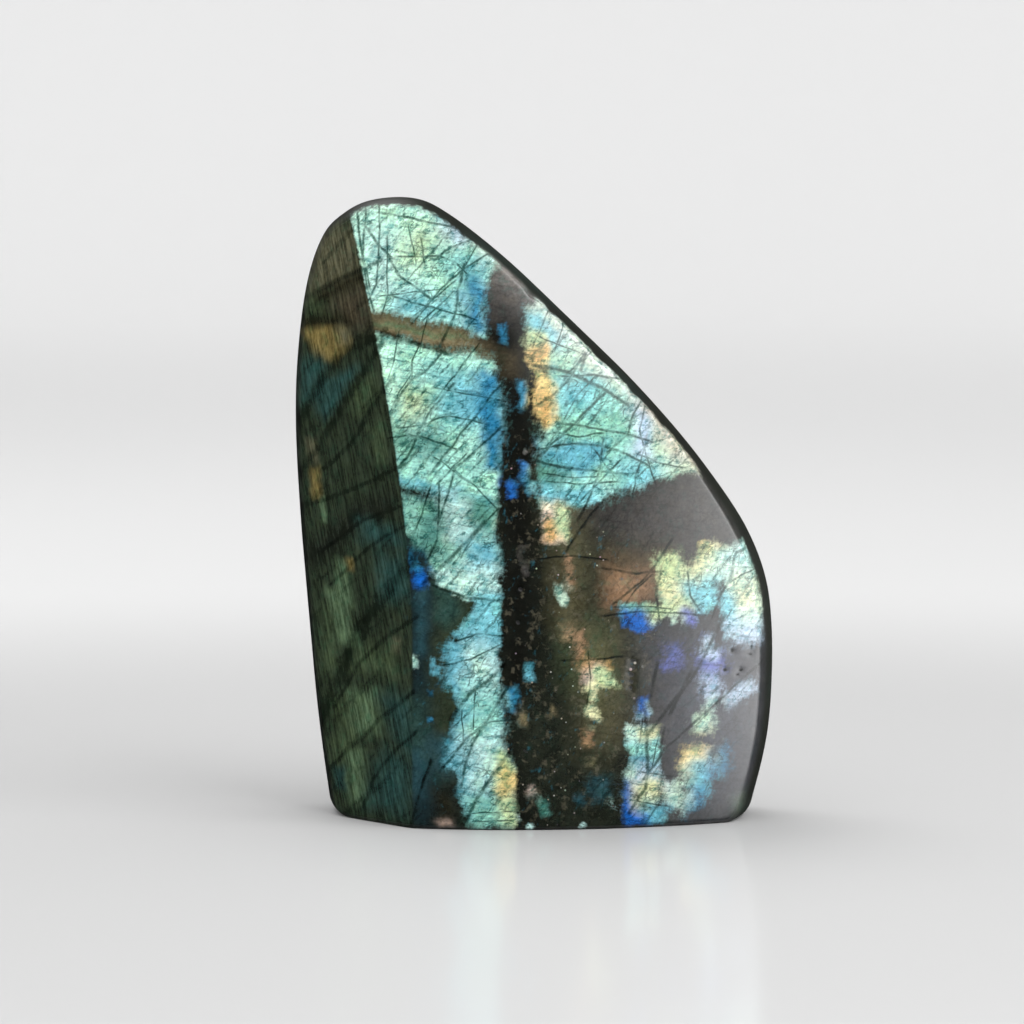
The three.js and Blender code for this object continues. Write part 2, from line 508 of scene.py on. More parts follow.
# The left facet's own markings, with the darkness of a side turned from the light painted into their tones
# as shade.
SHADED_FACET_GROUND = (
    Patch(Tone.OLIVE, ((-34.6, 94.2), (-31, 95), (-28.6, 93.5), (-27.2, 85), (-29, 84.9), (-35.7, 82.6),
        (-36.2, 88)), 1.0),
    Patch(Tone.MOSS, ((-36.4, 83.2), (-32.2, 83.4), (-32, 80.1), (-36.8, 80)), 0.8),
    Patch(Tone.COCOA, ((-31.8, 84), (-26.4, 86), (-25.3, 79), (-29, 78.2), (-32, 79)), 1.2),
    Patch(Tone.UMBER, ((-34.2, 84), (-25.8, 89.2), (-25.4, 87), (-34.8, 82.4)), 0.6),
    Patch(Tone.UMBER, ((-37.2, 80.6), (-31, 81), (-29, 79.4), (-37.4, 77.8)), 0.7),
    Patch(Tone.BRONZE, ((-37.2, 78.2), (-35.6, 75.6), (-34.4, 73.8), (-33.3, 73.3), (-31.4, 73.5),
        (-30.4, 74.9), (-29.4, 75.8), (-28.8, 77), (-30.1, 78.3), (-33, 79)), 0.35),
    Patch(Tone.OLIVE, ((-31.6, 78.6), (-29, 78.4), (-29.4, 76.2), (-31, 76)), 0.5),
    Patch(Tone.DEEP_TEAL, ((-37.5, 73), (-35, 74), (-33, 72.6), (-36, 67), (-37.8, 66)), 0.8),
    Patch(Tone.DEEP_TEAL, ((-35.4, 68.2), (-33.8, 69.8), (-30.7, 71.7), (-27.8, 72.7), (-29.1, 70.1),
        (-31, 66.9), (-32.2, 64.7), (-33.5, 63.8), (-34.8, 65)), 0.5),
    Patch(Tone.MOSS, ((-29.1, 68.2), (-25.6, 71.4), (-24.8, 68.2), (-28.3, 65)), 0.7),
    Patch(Tone.MOSS, ((-26, 63.4), (-24, 64.4), (-23.6, 58), (-25, 57.4)), 0.6),
    Patch(Tone.OLIVE, ((-36.4, 60.5), (-35, 60.5), (-34.8, 57), (-36, 56.8)), 0.4),
    Patch(Tone.BRONZE, ((-36, 55.9), (-34.4, 55.9), (-34.2, 51.2), (-35.6, 51)), 0.35),
    Patch(Tone.EDGE, ((-22, 53.4), (-28.5, 50.4), (-33.8, 45.6), (-38, 43), (-38, 38.8), (-33, 41.7),
        (-28, 46.6), (-21.5, 50.6)), 0.8),
    Patch(Tone.FERN, ((-34.2, 51.4), (-33.5, 51.4), (-33.2, 47.6), (-33.9, 47.6)), 0.3),
    Patch(Tone.DEEP_TEAL, ((-27.6, 48), (-21.2, 47.8), (-20.1, 45), (-27.2, 44.8)), 0.8),
    Patch(Tone.DEEP_TEAL, ((-24.4, 43), (-19.8, 43), (-19.4, 36.2), (-24, 36.2)), 1.0),
    Patch(Tone.FERN, ((-31.5, 41.2), (-29.9, 41.4), (-29.2, 34.8), (-31, 34.8)), 0.6),
    Patch(Tone.FERN, ((-33, 36.4), (-30.5, 36.4), (-29.4, 28.4), (-31.8, 28.4)), 0.6),
    Patch(Tone.BRONZE, ((-29.8, 42), (-28.7, 42), (-28.6, 40.2), (-29.7, 40.2)), 0.3),
    Patch(Tone.FERN, ((-29.2, 30), (-28.3, 30), (-28.1, 27.9), (-29, 27.9)), 0.3),
    Patch(Tone.OLIVE, ((-22.5, 29.8), (-21.3, 29.8), (-21.2, 27.8), (-22.4, 27.8)), 0.4),
    Patch(Tone.MOSS, ((-34.4, 34), (-32.6, 34), (-31.6, 24), (-33.4, 23)), 0.8),
    Patch(Tone.MOSS, ((-29, 27.8), (-22, 28.4), (-21.8, 24.4), (-28.8, 24)), 1.0),
    Patch(Tone.FERN, ((-29.4, 20.6), (-25.4, 21), (-25, 14.8), (-28.8, 13.8)), 0.9),
    Patch(Tone.MOSS, ((-32.4, 19), (-29.4, 20), (-28.6, 11), (-31.6, 9)), 0.9),
    Patch(Tone.FERN, ((-30, 10.4), (-27.6, 11), (-26.8, 3.4), (-29.2, 2.6)), 0.6),
    Patch(Tone.DEEP_TEAL, ((-24, 20.4), (-19, 21), (-18.6, 11), (-23, 12), (-25, 9), (-26, 3), (-20, 2),
        (-19.4, 9)), 1.2),
    Patch(Tone.DEEP_TEAL, ((-31.9, 8), (-30.3, 8), (-30, 4.4), (-31.5, 4.4)), 0.4),
)

FACE_GROUND = (
    Patch(Tone.NIGHT, ((-20, 52), (-13.5, 52), (-13, 0), (-20, 0)), 1.0),
    Patch(Tone.DEEP_TEAL, ((-20, 20.5), (-17.5, 20), (-16.8, 11), (-20, 12)), 1.0),
    Patch(Tone.BOTTLE, ((-16, 42), (-9, 38), (-9, 22), (-13, 8), (-16, 8)), 0.8),
    Patch(Tone.DEEP_TEAL, ((-15.8, 38.6), (-12, 37), (-11.4, 34.8), (-13.6, 32), (-15.8, 33.4)), 0.4),
    Patch(Tone.PEACOCK, ((-20, 12.6), (-17.6, 12.2), (-17.6, 6), (-20, 6)), 0.9),
    Patch(Tone.PEACOCK, ((-16.2, 14.4), (-13.3, 14), (-13.3, 9), (-15.8, 9.4)), 0.7),
    Patch(Tone.PEACOCK, ((-18.4, 38), (-17.5, 38), (-17.3, 28), (-18.3, 28)), 0.4),
    Patch(Tone.UMBER, ((-15.8, 6.4), (-13.4, 6.4), (-12.4, 1.4), (-15.6, 1.2)), 0.7),
    Patch(Tone.ROSE, ((-15.4, 1.5), (-13.6, 1.3), (-13.4, 0.6), (-15.2, 0.8)), 0.25),
    Patch(Tone.TAN, ((-25.8, 81.9), (-21.2, 81), (-13.3, 79.7), (-8.5, 77.2), (-4.6, 76.2), (-5.2, 73.4),
        (-13.3, 75), (-21.2, 77), (-25, 78)), 0.4),
    Patch(Tone.OLIVE, ((-26, 82), (-21, 81), (-12, 79.4), (-12, 78.2), (-21, 79.4), (-26, 80.6)), 0.4),
    Patch(Tone.FERN, ((-25.4, 79.8), (-17, 78.8), (-10, 77.2), (-10, 76.8), (-17, 78.2),
        (-25.4, 79.2)), 0.12),
    Patch(Tone.UMBER, ((-25.2, 78.7), (-15, 76.6), (-8, 75), (-8, 74.6), (-15, 76.1), (-25, 78.2)), 0.1),
    Patch(Tone.COCOA, ((-9.6, 78), (-2.4, 76), (-3, 73), (-9.6, 74.2)), 0.9),
    # Painted sheen: the grey SMOKE patch fading up into pale ASH at the head is a veil of reflected light,
    # painted as tone.
    Patch(Tone.SMOKE, ((-8.2, 88), (-6, 91), (-4, 91), (2, 84.6), (-0.6, 81.4), (-1.6, 78.2), (-8.5, 78.2),
        (-8.6, 82.5)), 0.9),
    Patch(Tone.ASH, ((-7.4, 89.6), (-5, 91.6), (2.2, 84.6), (0, 83.4), (-3.4, 85.2), (-6, 86.4)), 1.4),
    Patch(Tone.PITCH, ((-8.2, 79.4), (-2, 79.4), (-0.9, 74), (-0.2, 66), (0.8, 60), (0.2, 52), (0.8, 44),
        (-5.6, 44), (-5.6, 52), (-6, 62), (-5.6, 70), (-6.4, 75)), 0.7),
    Patch(Tone.COCOA, ((-5, 75.2), (-2.4, 75.2), (-2.4, 71.8), (-4.8, 72)), 0.6),
    Patch(Tone.PITCH, ((-5.8, 44), (1, 44), (0.6, 30), (-0.6, 22), (-3.4, 20), (-2.6, 8), (0.4, 1), (-3, 1),
        (-4.4, 14), (-5.4, 24), (-5.6, 34)), 1.0),
    Patch(Tone.SMOKE, ((6, 50.5), (10.4, 52.2), (16, 54), (22.8, 56), (27.4, 57.6), (30.5, 52), (33, 46),
        (30, 43.6), (26, 41.5), (22, 41), (16, 41), (11, 42.6), (7.5, 46)), 1.3),
    Patch(Tone.MATRIX, ((5.6, 46), (12, 46), (12.4, 35.6), (5.8, 35)), 1.2),
    Patch(Tone.COPPER, ((11.6, 42), (19.6, 41.6), (18.4, 37.2), (15.4, 35), (12, 35.6)), 0.9),
    Patch(Tone.COCOA, ((12, 44.5), (21, 44), (21.6, 41), (12, 41.4)), 1.2),
    Patch(Tone.SMOKE, ((14.6, 32), (19, 31.8), (25, 32), (29, 35), (31.2, 30), (36.6, 30), (37.4, 22),
        (36, 12), (34.6, 4), (32, 1.6), (21, 1.2), (20, 12), (15, 19), (17, 24)), 1.4),
    Patch(Tone.MOSS, ((6, 31), (13.4, 31), (14, 20), (10.4, 20), (6, 25)), 1.4),
    Patch(Tone.UMBER, ((3, 44), (6, 44), (6.4, 34), (3, 33)), 1.0),
    Patch(Tone.PITCH, ((14.2, 28.2), (15.7, 28.2), (15.9, 21.8), (14.1, 21.8)), 0.4),
    Patch(Tone.PITCH, ((14, 34), (15.6, 31), (15.4, 20), (16.2, 17), (13, 17), (12.6, 30)), 0.9),
    Patch(Tone.OLIVE, ((25, 15), (28.6, 15), (27.8, 12), (24, 12.2)), 0.8),
    Patch(Tone.FERN, ((32, 4), (33.6, 4.2), (33.6, 1.8), (32, 1.4)), 0.5),
    Patch(Tone.OLIVE, ((3, 56), (6, 55), (7.4, 42), (7.4, 32), (5, 32), (4, 42)), 1.4),
    Patch(Tone.OLIVE, ((9, 30), (13, 30), (14, 16), (10, 14)), 2.0),
    Patch(Tone.SLATE, ((20, 30), (30, 31), (36, 29), (36.5, 12), (33, 2), (25, 2), (21, 16)), 2.6),
)

# The flashes over the tan band, left of the dark vein
HEAD_FLASH = (
    Patch(Tone.MINT, ((-29.9, 96), (-28, 98.8), (-20, 100), (-13.6, 98.4), (-8.4, 94.8), (-5.4, 91.4),
        (-6.8, 87.6), (-8.2, 84), (-8.4, 80), (-7.6, 77.2), (-13.3, 79.5), (-21.2, 80.9), (-25.8, 81.8),
        (-27.2, 86), (-28.4, 91)), 0.35),
    Patch(Tone.PEARL, ((-26, 94), (-22, 94), (-21.6, 85), (-25.4, 84)), 1.4),
    Patch(Tone.LIME, ((-19.4, 93.6), (-13.6, 93.2), (-13, 90.6), (-18.6, 90.8)), 1.2),
    Patch(Tone.MINT, ((-22, 98), (-14, 97.4), (-13, 95.4), (-21, 96)), 1.0),
    Patch(Tone.LAVENDER, ((-14.6, 97), (-9.6, 95), (-8.4, 92.4), (-12.8, 92.8)), 1.2),
    Patch(Tone.SAGE, ((-9.2, 93.6), (-6, 91.8), (-6, 89), (-9, 89.6)), 0.8),
    Patch(Tone.AQUA, ((-15.4, 91), (-11.4, 90.2), (-10.8, 87.4), (-15, 88)), 0.8),
    Patch(Tone.CYAN, ((-20.4, 84), (-13.6, 83.4), (-12.6, 80.4), (-20.6, 81.6)), 1.0),
    Patch(Tone.SKY, ((-10.8, 88.6), (-8, 88.4), (-8.4, 84), (-10.8, 84)), 0.9),
    Patch(Tone.AZURE, ((-9.8, 84.4), (-8, 84.4), (-7.8, 78.4), (-9.6, 78.2)), 0.7),
)

# The flashes under the tan band, left of the dark vein
MIDDLE_FLASH = (
    Patch(Tone.MINT, ((-24.9, 78.1), (-21, 77), (-13.3, 75), (-9, 74.2), (-6.2, 73.6), (-5.6, 70),
        (-5.4, 66), (-5.8, 61.5), (-5.8, 55), (-6.2, 48), (-5.8, 42), (-5.6, 36), (-8.8, 36.4), (-12, 37.4),
        (-15.2, 38.6), (-16.4, 43), (-14.9, 48), (-14.9, 52.3), (-18, 54), (-21.2, 54.4), (-22.4, 61.8),
        (-23.4, 67), (-24.2, 73)), 0.35),
    Patch(Tone.AQUA, ((-20, 76), (-8, 73), (-6, 68), (-6, 62), (-22, 62), (-22.6, 66), (-18, 70)), 1.6),
    Patch(Tone.LIME, ((-20.4, 68.2), (-17.2, 68.4), (-17, 65.8), (-20.2, 65.6)), 1.0),
    Patch(Tone.CYAN, ((-15, 70), (-9, 70), (-9, 65), (-15, 65)), 1.4),
    Patch(Tone.SKY, ((-10.4, 68.8), (-7.4, 68.4), (-7.4, 65.2), (-10.2, 65.4)), 0.7),
    Patch(Tone.AZURE, ((-7.5, 67.6), (-5.2, 67.6), (-5.2, 63), (-7.3, 63)), 0.5),
    Patch(Tone.AZURE, ((-7.8, 71), (-6.2, 71), (-6.2, 69), (-7.8, 69.2)), 0.5),
    Patch(Tone.TEAL, ((-22, 61.9), (-15, 61.7), (-13.8, 60), (-15, 58.5), (-21.6, 58.7)), 0.6),
    Patch(Tone.AQUA, ((-21.6, 58.6), (-14, 58.4), (-7, 59), (-7, 54), (-15, 54.4), (-21, 55.4)), 1.0),
    Patch(Tone.AZURE, ((-6.8, 62), (-5.2, 62), (-5.2, 57.6), (-6.8, 58)), 0.5),
    Patch(Tone.CYAN, ((-21.2, 55.2), (-18, 54.8), (-15, 53.3), (-11.7, 53), (-7.3, 52), (-7.3, 51.2),
        (-11.7, 52), (-15, 52.4), (-18, 53.9), (-21.2, 54.3)), 0.3),
    Patch(Tone.TEAL, ((-11.6, 51.6), (-6.4, 51.2), (-6.6, 47.4), (-11.2, 47)), 0.6),
    Patch(Tone.PEARL, ((-14.9, 52), (-12, 51.6), (-11.6, 44.6), (-14.9, 44.4)), 0.7),
    Patch(Tone.JADE, ((-16.8, 43.6), (-13, 43.6), (-12.6, 40.6), (-16.2, 40.6)), 0.6),
    Patch(Tone.SKY, ((-10.2, 45), (-6, 45), (-5.8, 40.4), (-10, 40.6)), 0.8),
    Patch(Tone.PEARL, ((-14.6, 40.4), (-6.4, 40.4), (-6, 37.4), (-12, 38.2)), 0.6),
    Patch(Tone.CYAN, ((-9, 37.4), (-5.5, 37.4), (-5.5, 28.2), (-10.9, 28.2), (-12, 30), (-12.6, 31.6),
        (-11.2, 33.2), (-10.1, 34.8)), 0.3),
)

# The strip that runs down to the foot
STRIP_FLASH = (
    Patch(Tone.SKY, ((-13.4, 30), (-13.3, 26.9), (-12.5, 26.1), (-13.7, 24.5), (-12.5, 22.1), (-11.7, 19.7),
        (-12.5, 17.3), (-12.8, 14.9), (-13.6, 12.6), (-14, 10.2), (-12.5, 9.7), (-11.7, 8.6), (-12.2, 6.2),
        (-11.7, 3.8), (-10.1, 2.2), (-8.5, 0.5), (-4.2, 0.4), (-3.6, 2.2), (-4.1, 4.6), (-3.3, 7.8),
        (-3.6, 9.4), (-4.4, 11.4), (-5, 12.6), (-5, 14.9), (-4.3, 17.6), (-4.9, 19.7), (-5.5, 22.1),
        (-5.4, 26.1), (-5.7, 30)), 0.35),
    Patch(Tone.SKY, ((-13.6, 29), (-10.4, 29), (-10, 23), (-13.4, 23)), 0.9),
    Patch(Tone.PEARL, ((-9.9, 28.4), (-6, 28), (-6, 23.2), (-9.4, 23.6)), 0.7),
    Patch(Tone.AQUA, ((-9.4, 22), (-5.2, 22), (-5, 16), (-9.4, 16)), 1.0),
    Patch(Tone.SKY, ((-14, 13.6), (-10.8, 13.6), (-10.6, 10.2), (-14, 10)), 0.6),
    Patch(Tone.PEARL, ((-10, 14.8), (-5.4, 14.8), (-5, 7.6), (-9.6, 7.2)), 1.0),
    Patch(Tone.JADE, ((-10.4, 4.6), (-4.6, 4.4), (-4.4, 0.4), (-10, 0.4)), 0.8),
    Patch(Tone.LIME, ((-4.9, 11.6), (-3.4, 10), (-3.2, 0.4), (-4.9, 0.4)), 0.4),
    Patch(Tone.GOLD, ((-4.6, 8.8), (-3, 8.8), (-3, 6.8), (-4.6, 6.8)), 0.3),
)

# The glints beside the crest
CREST_FLASH = (
    Patch(Tone.TEAL, ((-20.7, 52.8), (-15.2, 51.5), (-14.5, 44.4), (-19.4, 44.6)), 0.7),
    Patch(Tone.JADE, ((-20.8, 52.6), (-18.8, 52.2), (-18.6, 47.5), (-20.2, 47.6)), 0.5),
    Patch(Tone.ROYAL, ((-19.4, 41.9), (-18.4, 41.7), (-17.2, 40.5), (-17, 38.8), (-18.2, 38),
        (-19.3, 38.8)), 0.45),
    Patch(Tone.AZURE, ((-19.7, 43.6), (-18.9, 43.6), (-18.9, 41.9), (-19.6, 41.9)), 0.3),
    Patch(Tone.PEARL, ((-19.5, 27.6), (-18.3, 27.6), (-18.1, 25.7), (-19.3, 25.7)), 0.25),
    Patch(Tone.SKY, ((-16, 27.1), (-15.3, 27.1), (-15.3, 26.2), (-16, 26.2)), 0.2),
    Patch(Tone.SKY, ((-16, 25.8), (-14.6, 25.8), (-14.6, 24.7), (-16, 24.7)), 0.25),
    Patch(Tone.AZURE, ((-16.4, 22.3), (-15.7, 22.3), (-15.7, 21.5), (-16.4, 21.5)), 0.2),
    Patch(Tone.AZURE, ((-16.5, 18.1), (-15.8, 18.1), (-15.8, 17.2), (-16.5, 17.2)), 0.2),
)

# The glints in the dark vein
VEIN_FLASH = (
    Patch(Tone.AZURE, ((-2.4, 70.6), (-1.1, 70.6), (-1, 66.6), (-2.2, 66.6)), 0.4),
    Patch(Tone.ROYAL, ((0.5, 61.3), (1.9, 61.3), (1.9, 59.8), (0.7, 59.8)), 0.3),
    Patch(Tone.ROYAL, ((-2.3, 58), (-0.7, 57.6), (-0.5, 54.7), (-2, 54.9)), 0.35),
    Patch(Tone.ROYAL, ((-4.3, 54.9), (-2.7, 54.7), (-2.7, 52.5), (-4.2, 52.5)), 0.35),
    Patch(Tone.AZURE, ((-1.1, 54.9), (0.2, 54.9), (0.2, 52.9), (-1.1, 53.1)), 0.4),
    Patch(Tone.AZURE, ((-5.4, 79.4), (-4.6, 79.4), (-4.4, 76.6), (-5.2, 77)), 0.4),
    Patch(Tone.SKY, ((-1.6, 26.1), (-0.4, 26.1), (-0.1, 23.8), (-1.4, 23.8)), 0.3),
    Patch(Tone.AZURE, ((-4.1, 22.4), (-2.7, 22.6), (-2.6, 19.2), (-3.9, 19.2)), 0.4),
)

# The flashes right of the dark vein, over the grey, with a painted sheen along the upper right edge
SHOULDER_FLASH = (
    Patch(Tone.SAGE, ((0, 84.9), (2.6, 83.6), (8, 78.4), (14, 72.8), (20, 67.6), (26, 60.4), (28.6, 56),
        (25.4, 56.4), (22.8, 55.7), (19, 54.9), (16, 54), (12.7, 53.5), (10.4, 52.2), (7, 50.9), (4, 51.2),
        (1.1, 51.2), (0.9, 57), (1.6, 60), (2.2, 63), (2.2, 65), (2.4, 69.5), (1.6, 72.8), (0.6, 75.5),
        (-1, 78.3), (-1.3, 81.3), (-0.2, 82.2)), 0.35),
    Patch(Tone.AQUA, ((3, 72), (10, 70), (17, 66), (18, 57), (10, 54), (3, 53)), 2.0),
    Patch(Tone.CYAN, ((-1.3, 81.8), (4.1, 81.9), (4.3, 77), (-0.9, 77)), 0.7),
    Patch(Tone.SAGE, ((-0.2, 84.6), (1.4, 84.4), (1.4, 82.3), (-0.1, 82.2)), 0.4),
    Patch(Tone.CYAN, ((5.2, 70.4), (9.5, 70.5), (11.6, 68), (10, 65.4), (5.6, 66)), 0.9),
    Patch(Tone.AQUA, ((10.5, 68.4), (16, 68), (15.6, 64), (11, 64)), 1.0),
    Patch(Tone.JADE, ((2.6, 64), (14, 63.4), (15.6, 60.6), (2.4, 60.6)), 1.0),
    # Painted sheen: the pale HAZE band along the upper right edge is reflected light, painted as a flash.
    Patch(Tone.HAZE, ((0.6, 83.4), (2.6, 83.6), (8, 78.4), (14, 72.8), (20, 67.6), (18, 65.6), (12, 71),
        (6, 77)), 0.5),
    Patch(Tone.SAGE, ((19, 62.6), (22.6, 62), (23, 59.4), (19.4, 59.2)), 1.0),
    # Painted sheen: the pale FAWN band along the edge is reflected light, painted as a flash.
    Patch(Tone.FAWN, ((16.6, 69.4), (20.6, 67), (26, 60.4), (28.6, 56), (24.6, 57), (21.4, 61),
        (17.6, 65.6)), 0.8),
    Patch(Tone.SKY, ((1.9, 59.5), (4.1, 60.3), (10.4, 60), (10.4, 58.5), (6.5, 57.1), (1.6, 57.9)), 0.45),
    Patch(Tone.TEAL, ((1.2, 57.6), (4.1, 57.2), (3.6, 53.9), (1, 53.9)), 0.5),
    Patch(Tone.CYAN, ((0.9, 53.6), (8, 53.9), (10.4, 52.4), (7, 50.9), (0.9, 50.9)), 0.5),
    Patch(Tone.CYAN, ((13.6, 57.2), (17.5, 57.2), (17.5, 54), (13.4, 53.8)), 0.7),
    Patch(Tone.LAVENDER, ((16.1, 65), (17.2, 65), (17.6, 59.4), (16.7, 59.4)), 0.5),
    Patch(Tone.GOLD, ((-0.8, 76.7), (0.6, 76.9), (1.1, 75.7), (1.8, 73.8), (1, 73), (-0.3, 73),
        (-1.1, 74.3)), 0.3),
    Patch(Tone.LIME, ((-1, 77.6), (0.9, 77.4), (0.9, 76.5), (-1, 76.5)), 0.3),
    Patch(Tone.AMBER, ((0, 75), (1.2, 75), (1.2, 73.8), (0, 73.8)), 0.4),
    Patch(Tone.GOLD, ((0.7, 72.1), (1.9, 71.8), (2.9, 69.8), (2.9, 67.4), (2.6, 65), (1.8, 64.5),
        (0.7, 65.5), (0.1, 67.4), (0, 69.5)), 0.3),
    Patch(Tone.AMBER, ((1.2, 67.8), (2.4, 67.8), (2.4, 65.8), (1.4, 66)), 0.4),
    Patch(Tone.CREAM, ((1.3, 51), (4.1, 50.8), (5.3, 49.9), (5.5, 47.5), (4.9, 45.4), (3.3, 45.1),
        (1.3, 45.4)), 0.3),
    Patch(Tone.ROSE, ((1.3, 49), (2.4, 49), (2.4, 45.6), (1.4, 45.6)), 0.4),
    Patch(Tone.LIME, ((4.2, 50.2), (5.4, 49.6), (5.4, 46.4), (4.4, 47)), 0.4),
    Patch(Tone.AMBER, ((2.2, 47.7), (3, 47.7), (3, 46.3), (2.2, 46.3)), 0.3),
)

# The small flashes in the dark lower middle
MIDST_FLASH = (
    Patch(Tone.COPPER, ((4.7, 43.2), (6, 43), (5.9, 38.6), (4.9, 38.8)), 0.4),
    Patch(Tone.SAGE, ((3.2, 39), (4.2, 39), (5.4, 36.6), (4.6, 35.6), (3.4, 36.8)), 0.3),
    Patch(Tone.TAN, ((4.1, 32.6), (6.4, 32.6), (6.8, 30.2), (4.8, 30)), 0.5),
    Patch(Tone.COPPER, ((6.2, 31.4), (7.8, 31), (8.4, 26.9), (6.8, 26.5)), 0.6),
    Patch(Tone.AMBER, ((7.7, 25.4), (9.1, 26.6), (12, 26.5), (12.2, 24), (11, 22.9), (9.5, 21.6),
        (8.4, 22.1)), 0.5),
    Patch(Tone.ROSE, ((8, 24.6), (10, 25), (10, 22.8), (8.6, 22.4)), 0.5),
    Patch(Tone.LIME, ((10.6, 24.4), (13.3, 23.7), (13.4, 22.7), (10.8, 22.6)), 0.3),
    Patch(Tone.LEMON, ((8.8, 22), (9.9, 22.2), (9.8, 20.4), (9, 20.6)), 0.3),
    Patch(Tone.LEMON, ((8, 19.7), (9.6, 20), (10.6, 18), (10, 17.2), (8.4, 18.2)), 0.3),
    Patch(Tone.COPPER, ((7.6, 16.2), (9.1, 16.2), (9.1, 13.3), (7.9, 13.3)), 0.4),
    Patch(Tone.TAN, ((-2.2, 18.8), (-1.1, 18.8), (-1.1, 17), (-2.2, 17)), 0.35),
    Patch(Tone.PEACOCK, ((8.6, 8.4), (11.2, 8.4), (11.8, 5.4), (9.4, 4.8)), 0.8),
    Patch(Tone.TEAL, ((1, 5.3), (2.2, 5.3), (2.3, 2.5), (1.1, 2.6)), 0.4),
    Patch(Tone.PEACOCK, ((6.7, 5.5), (7.8, 5.5), (7.8, 4.2), (6.7, 4.2)), 0.4),
)

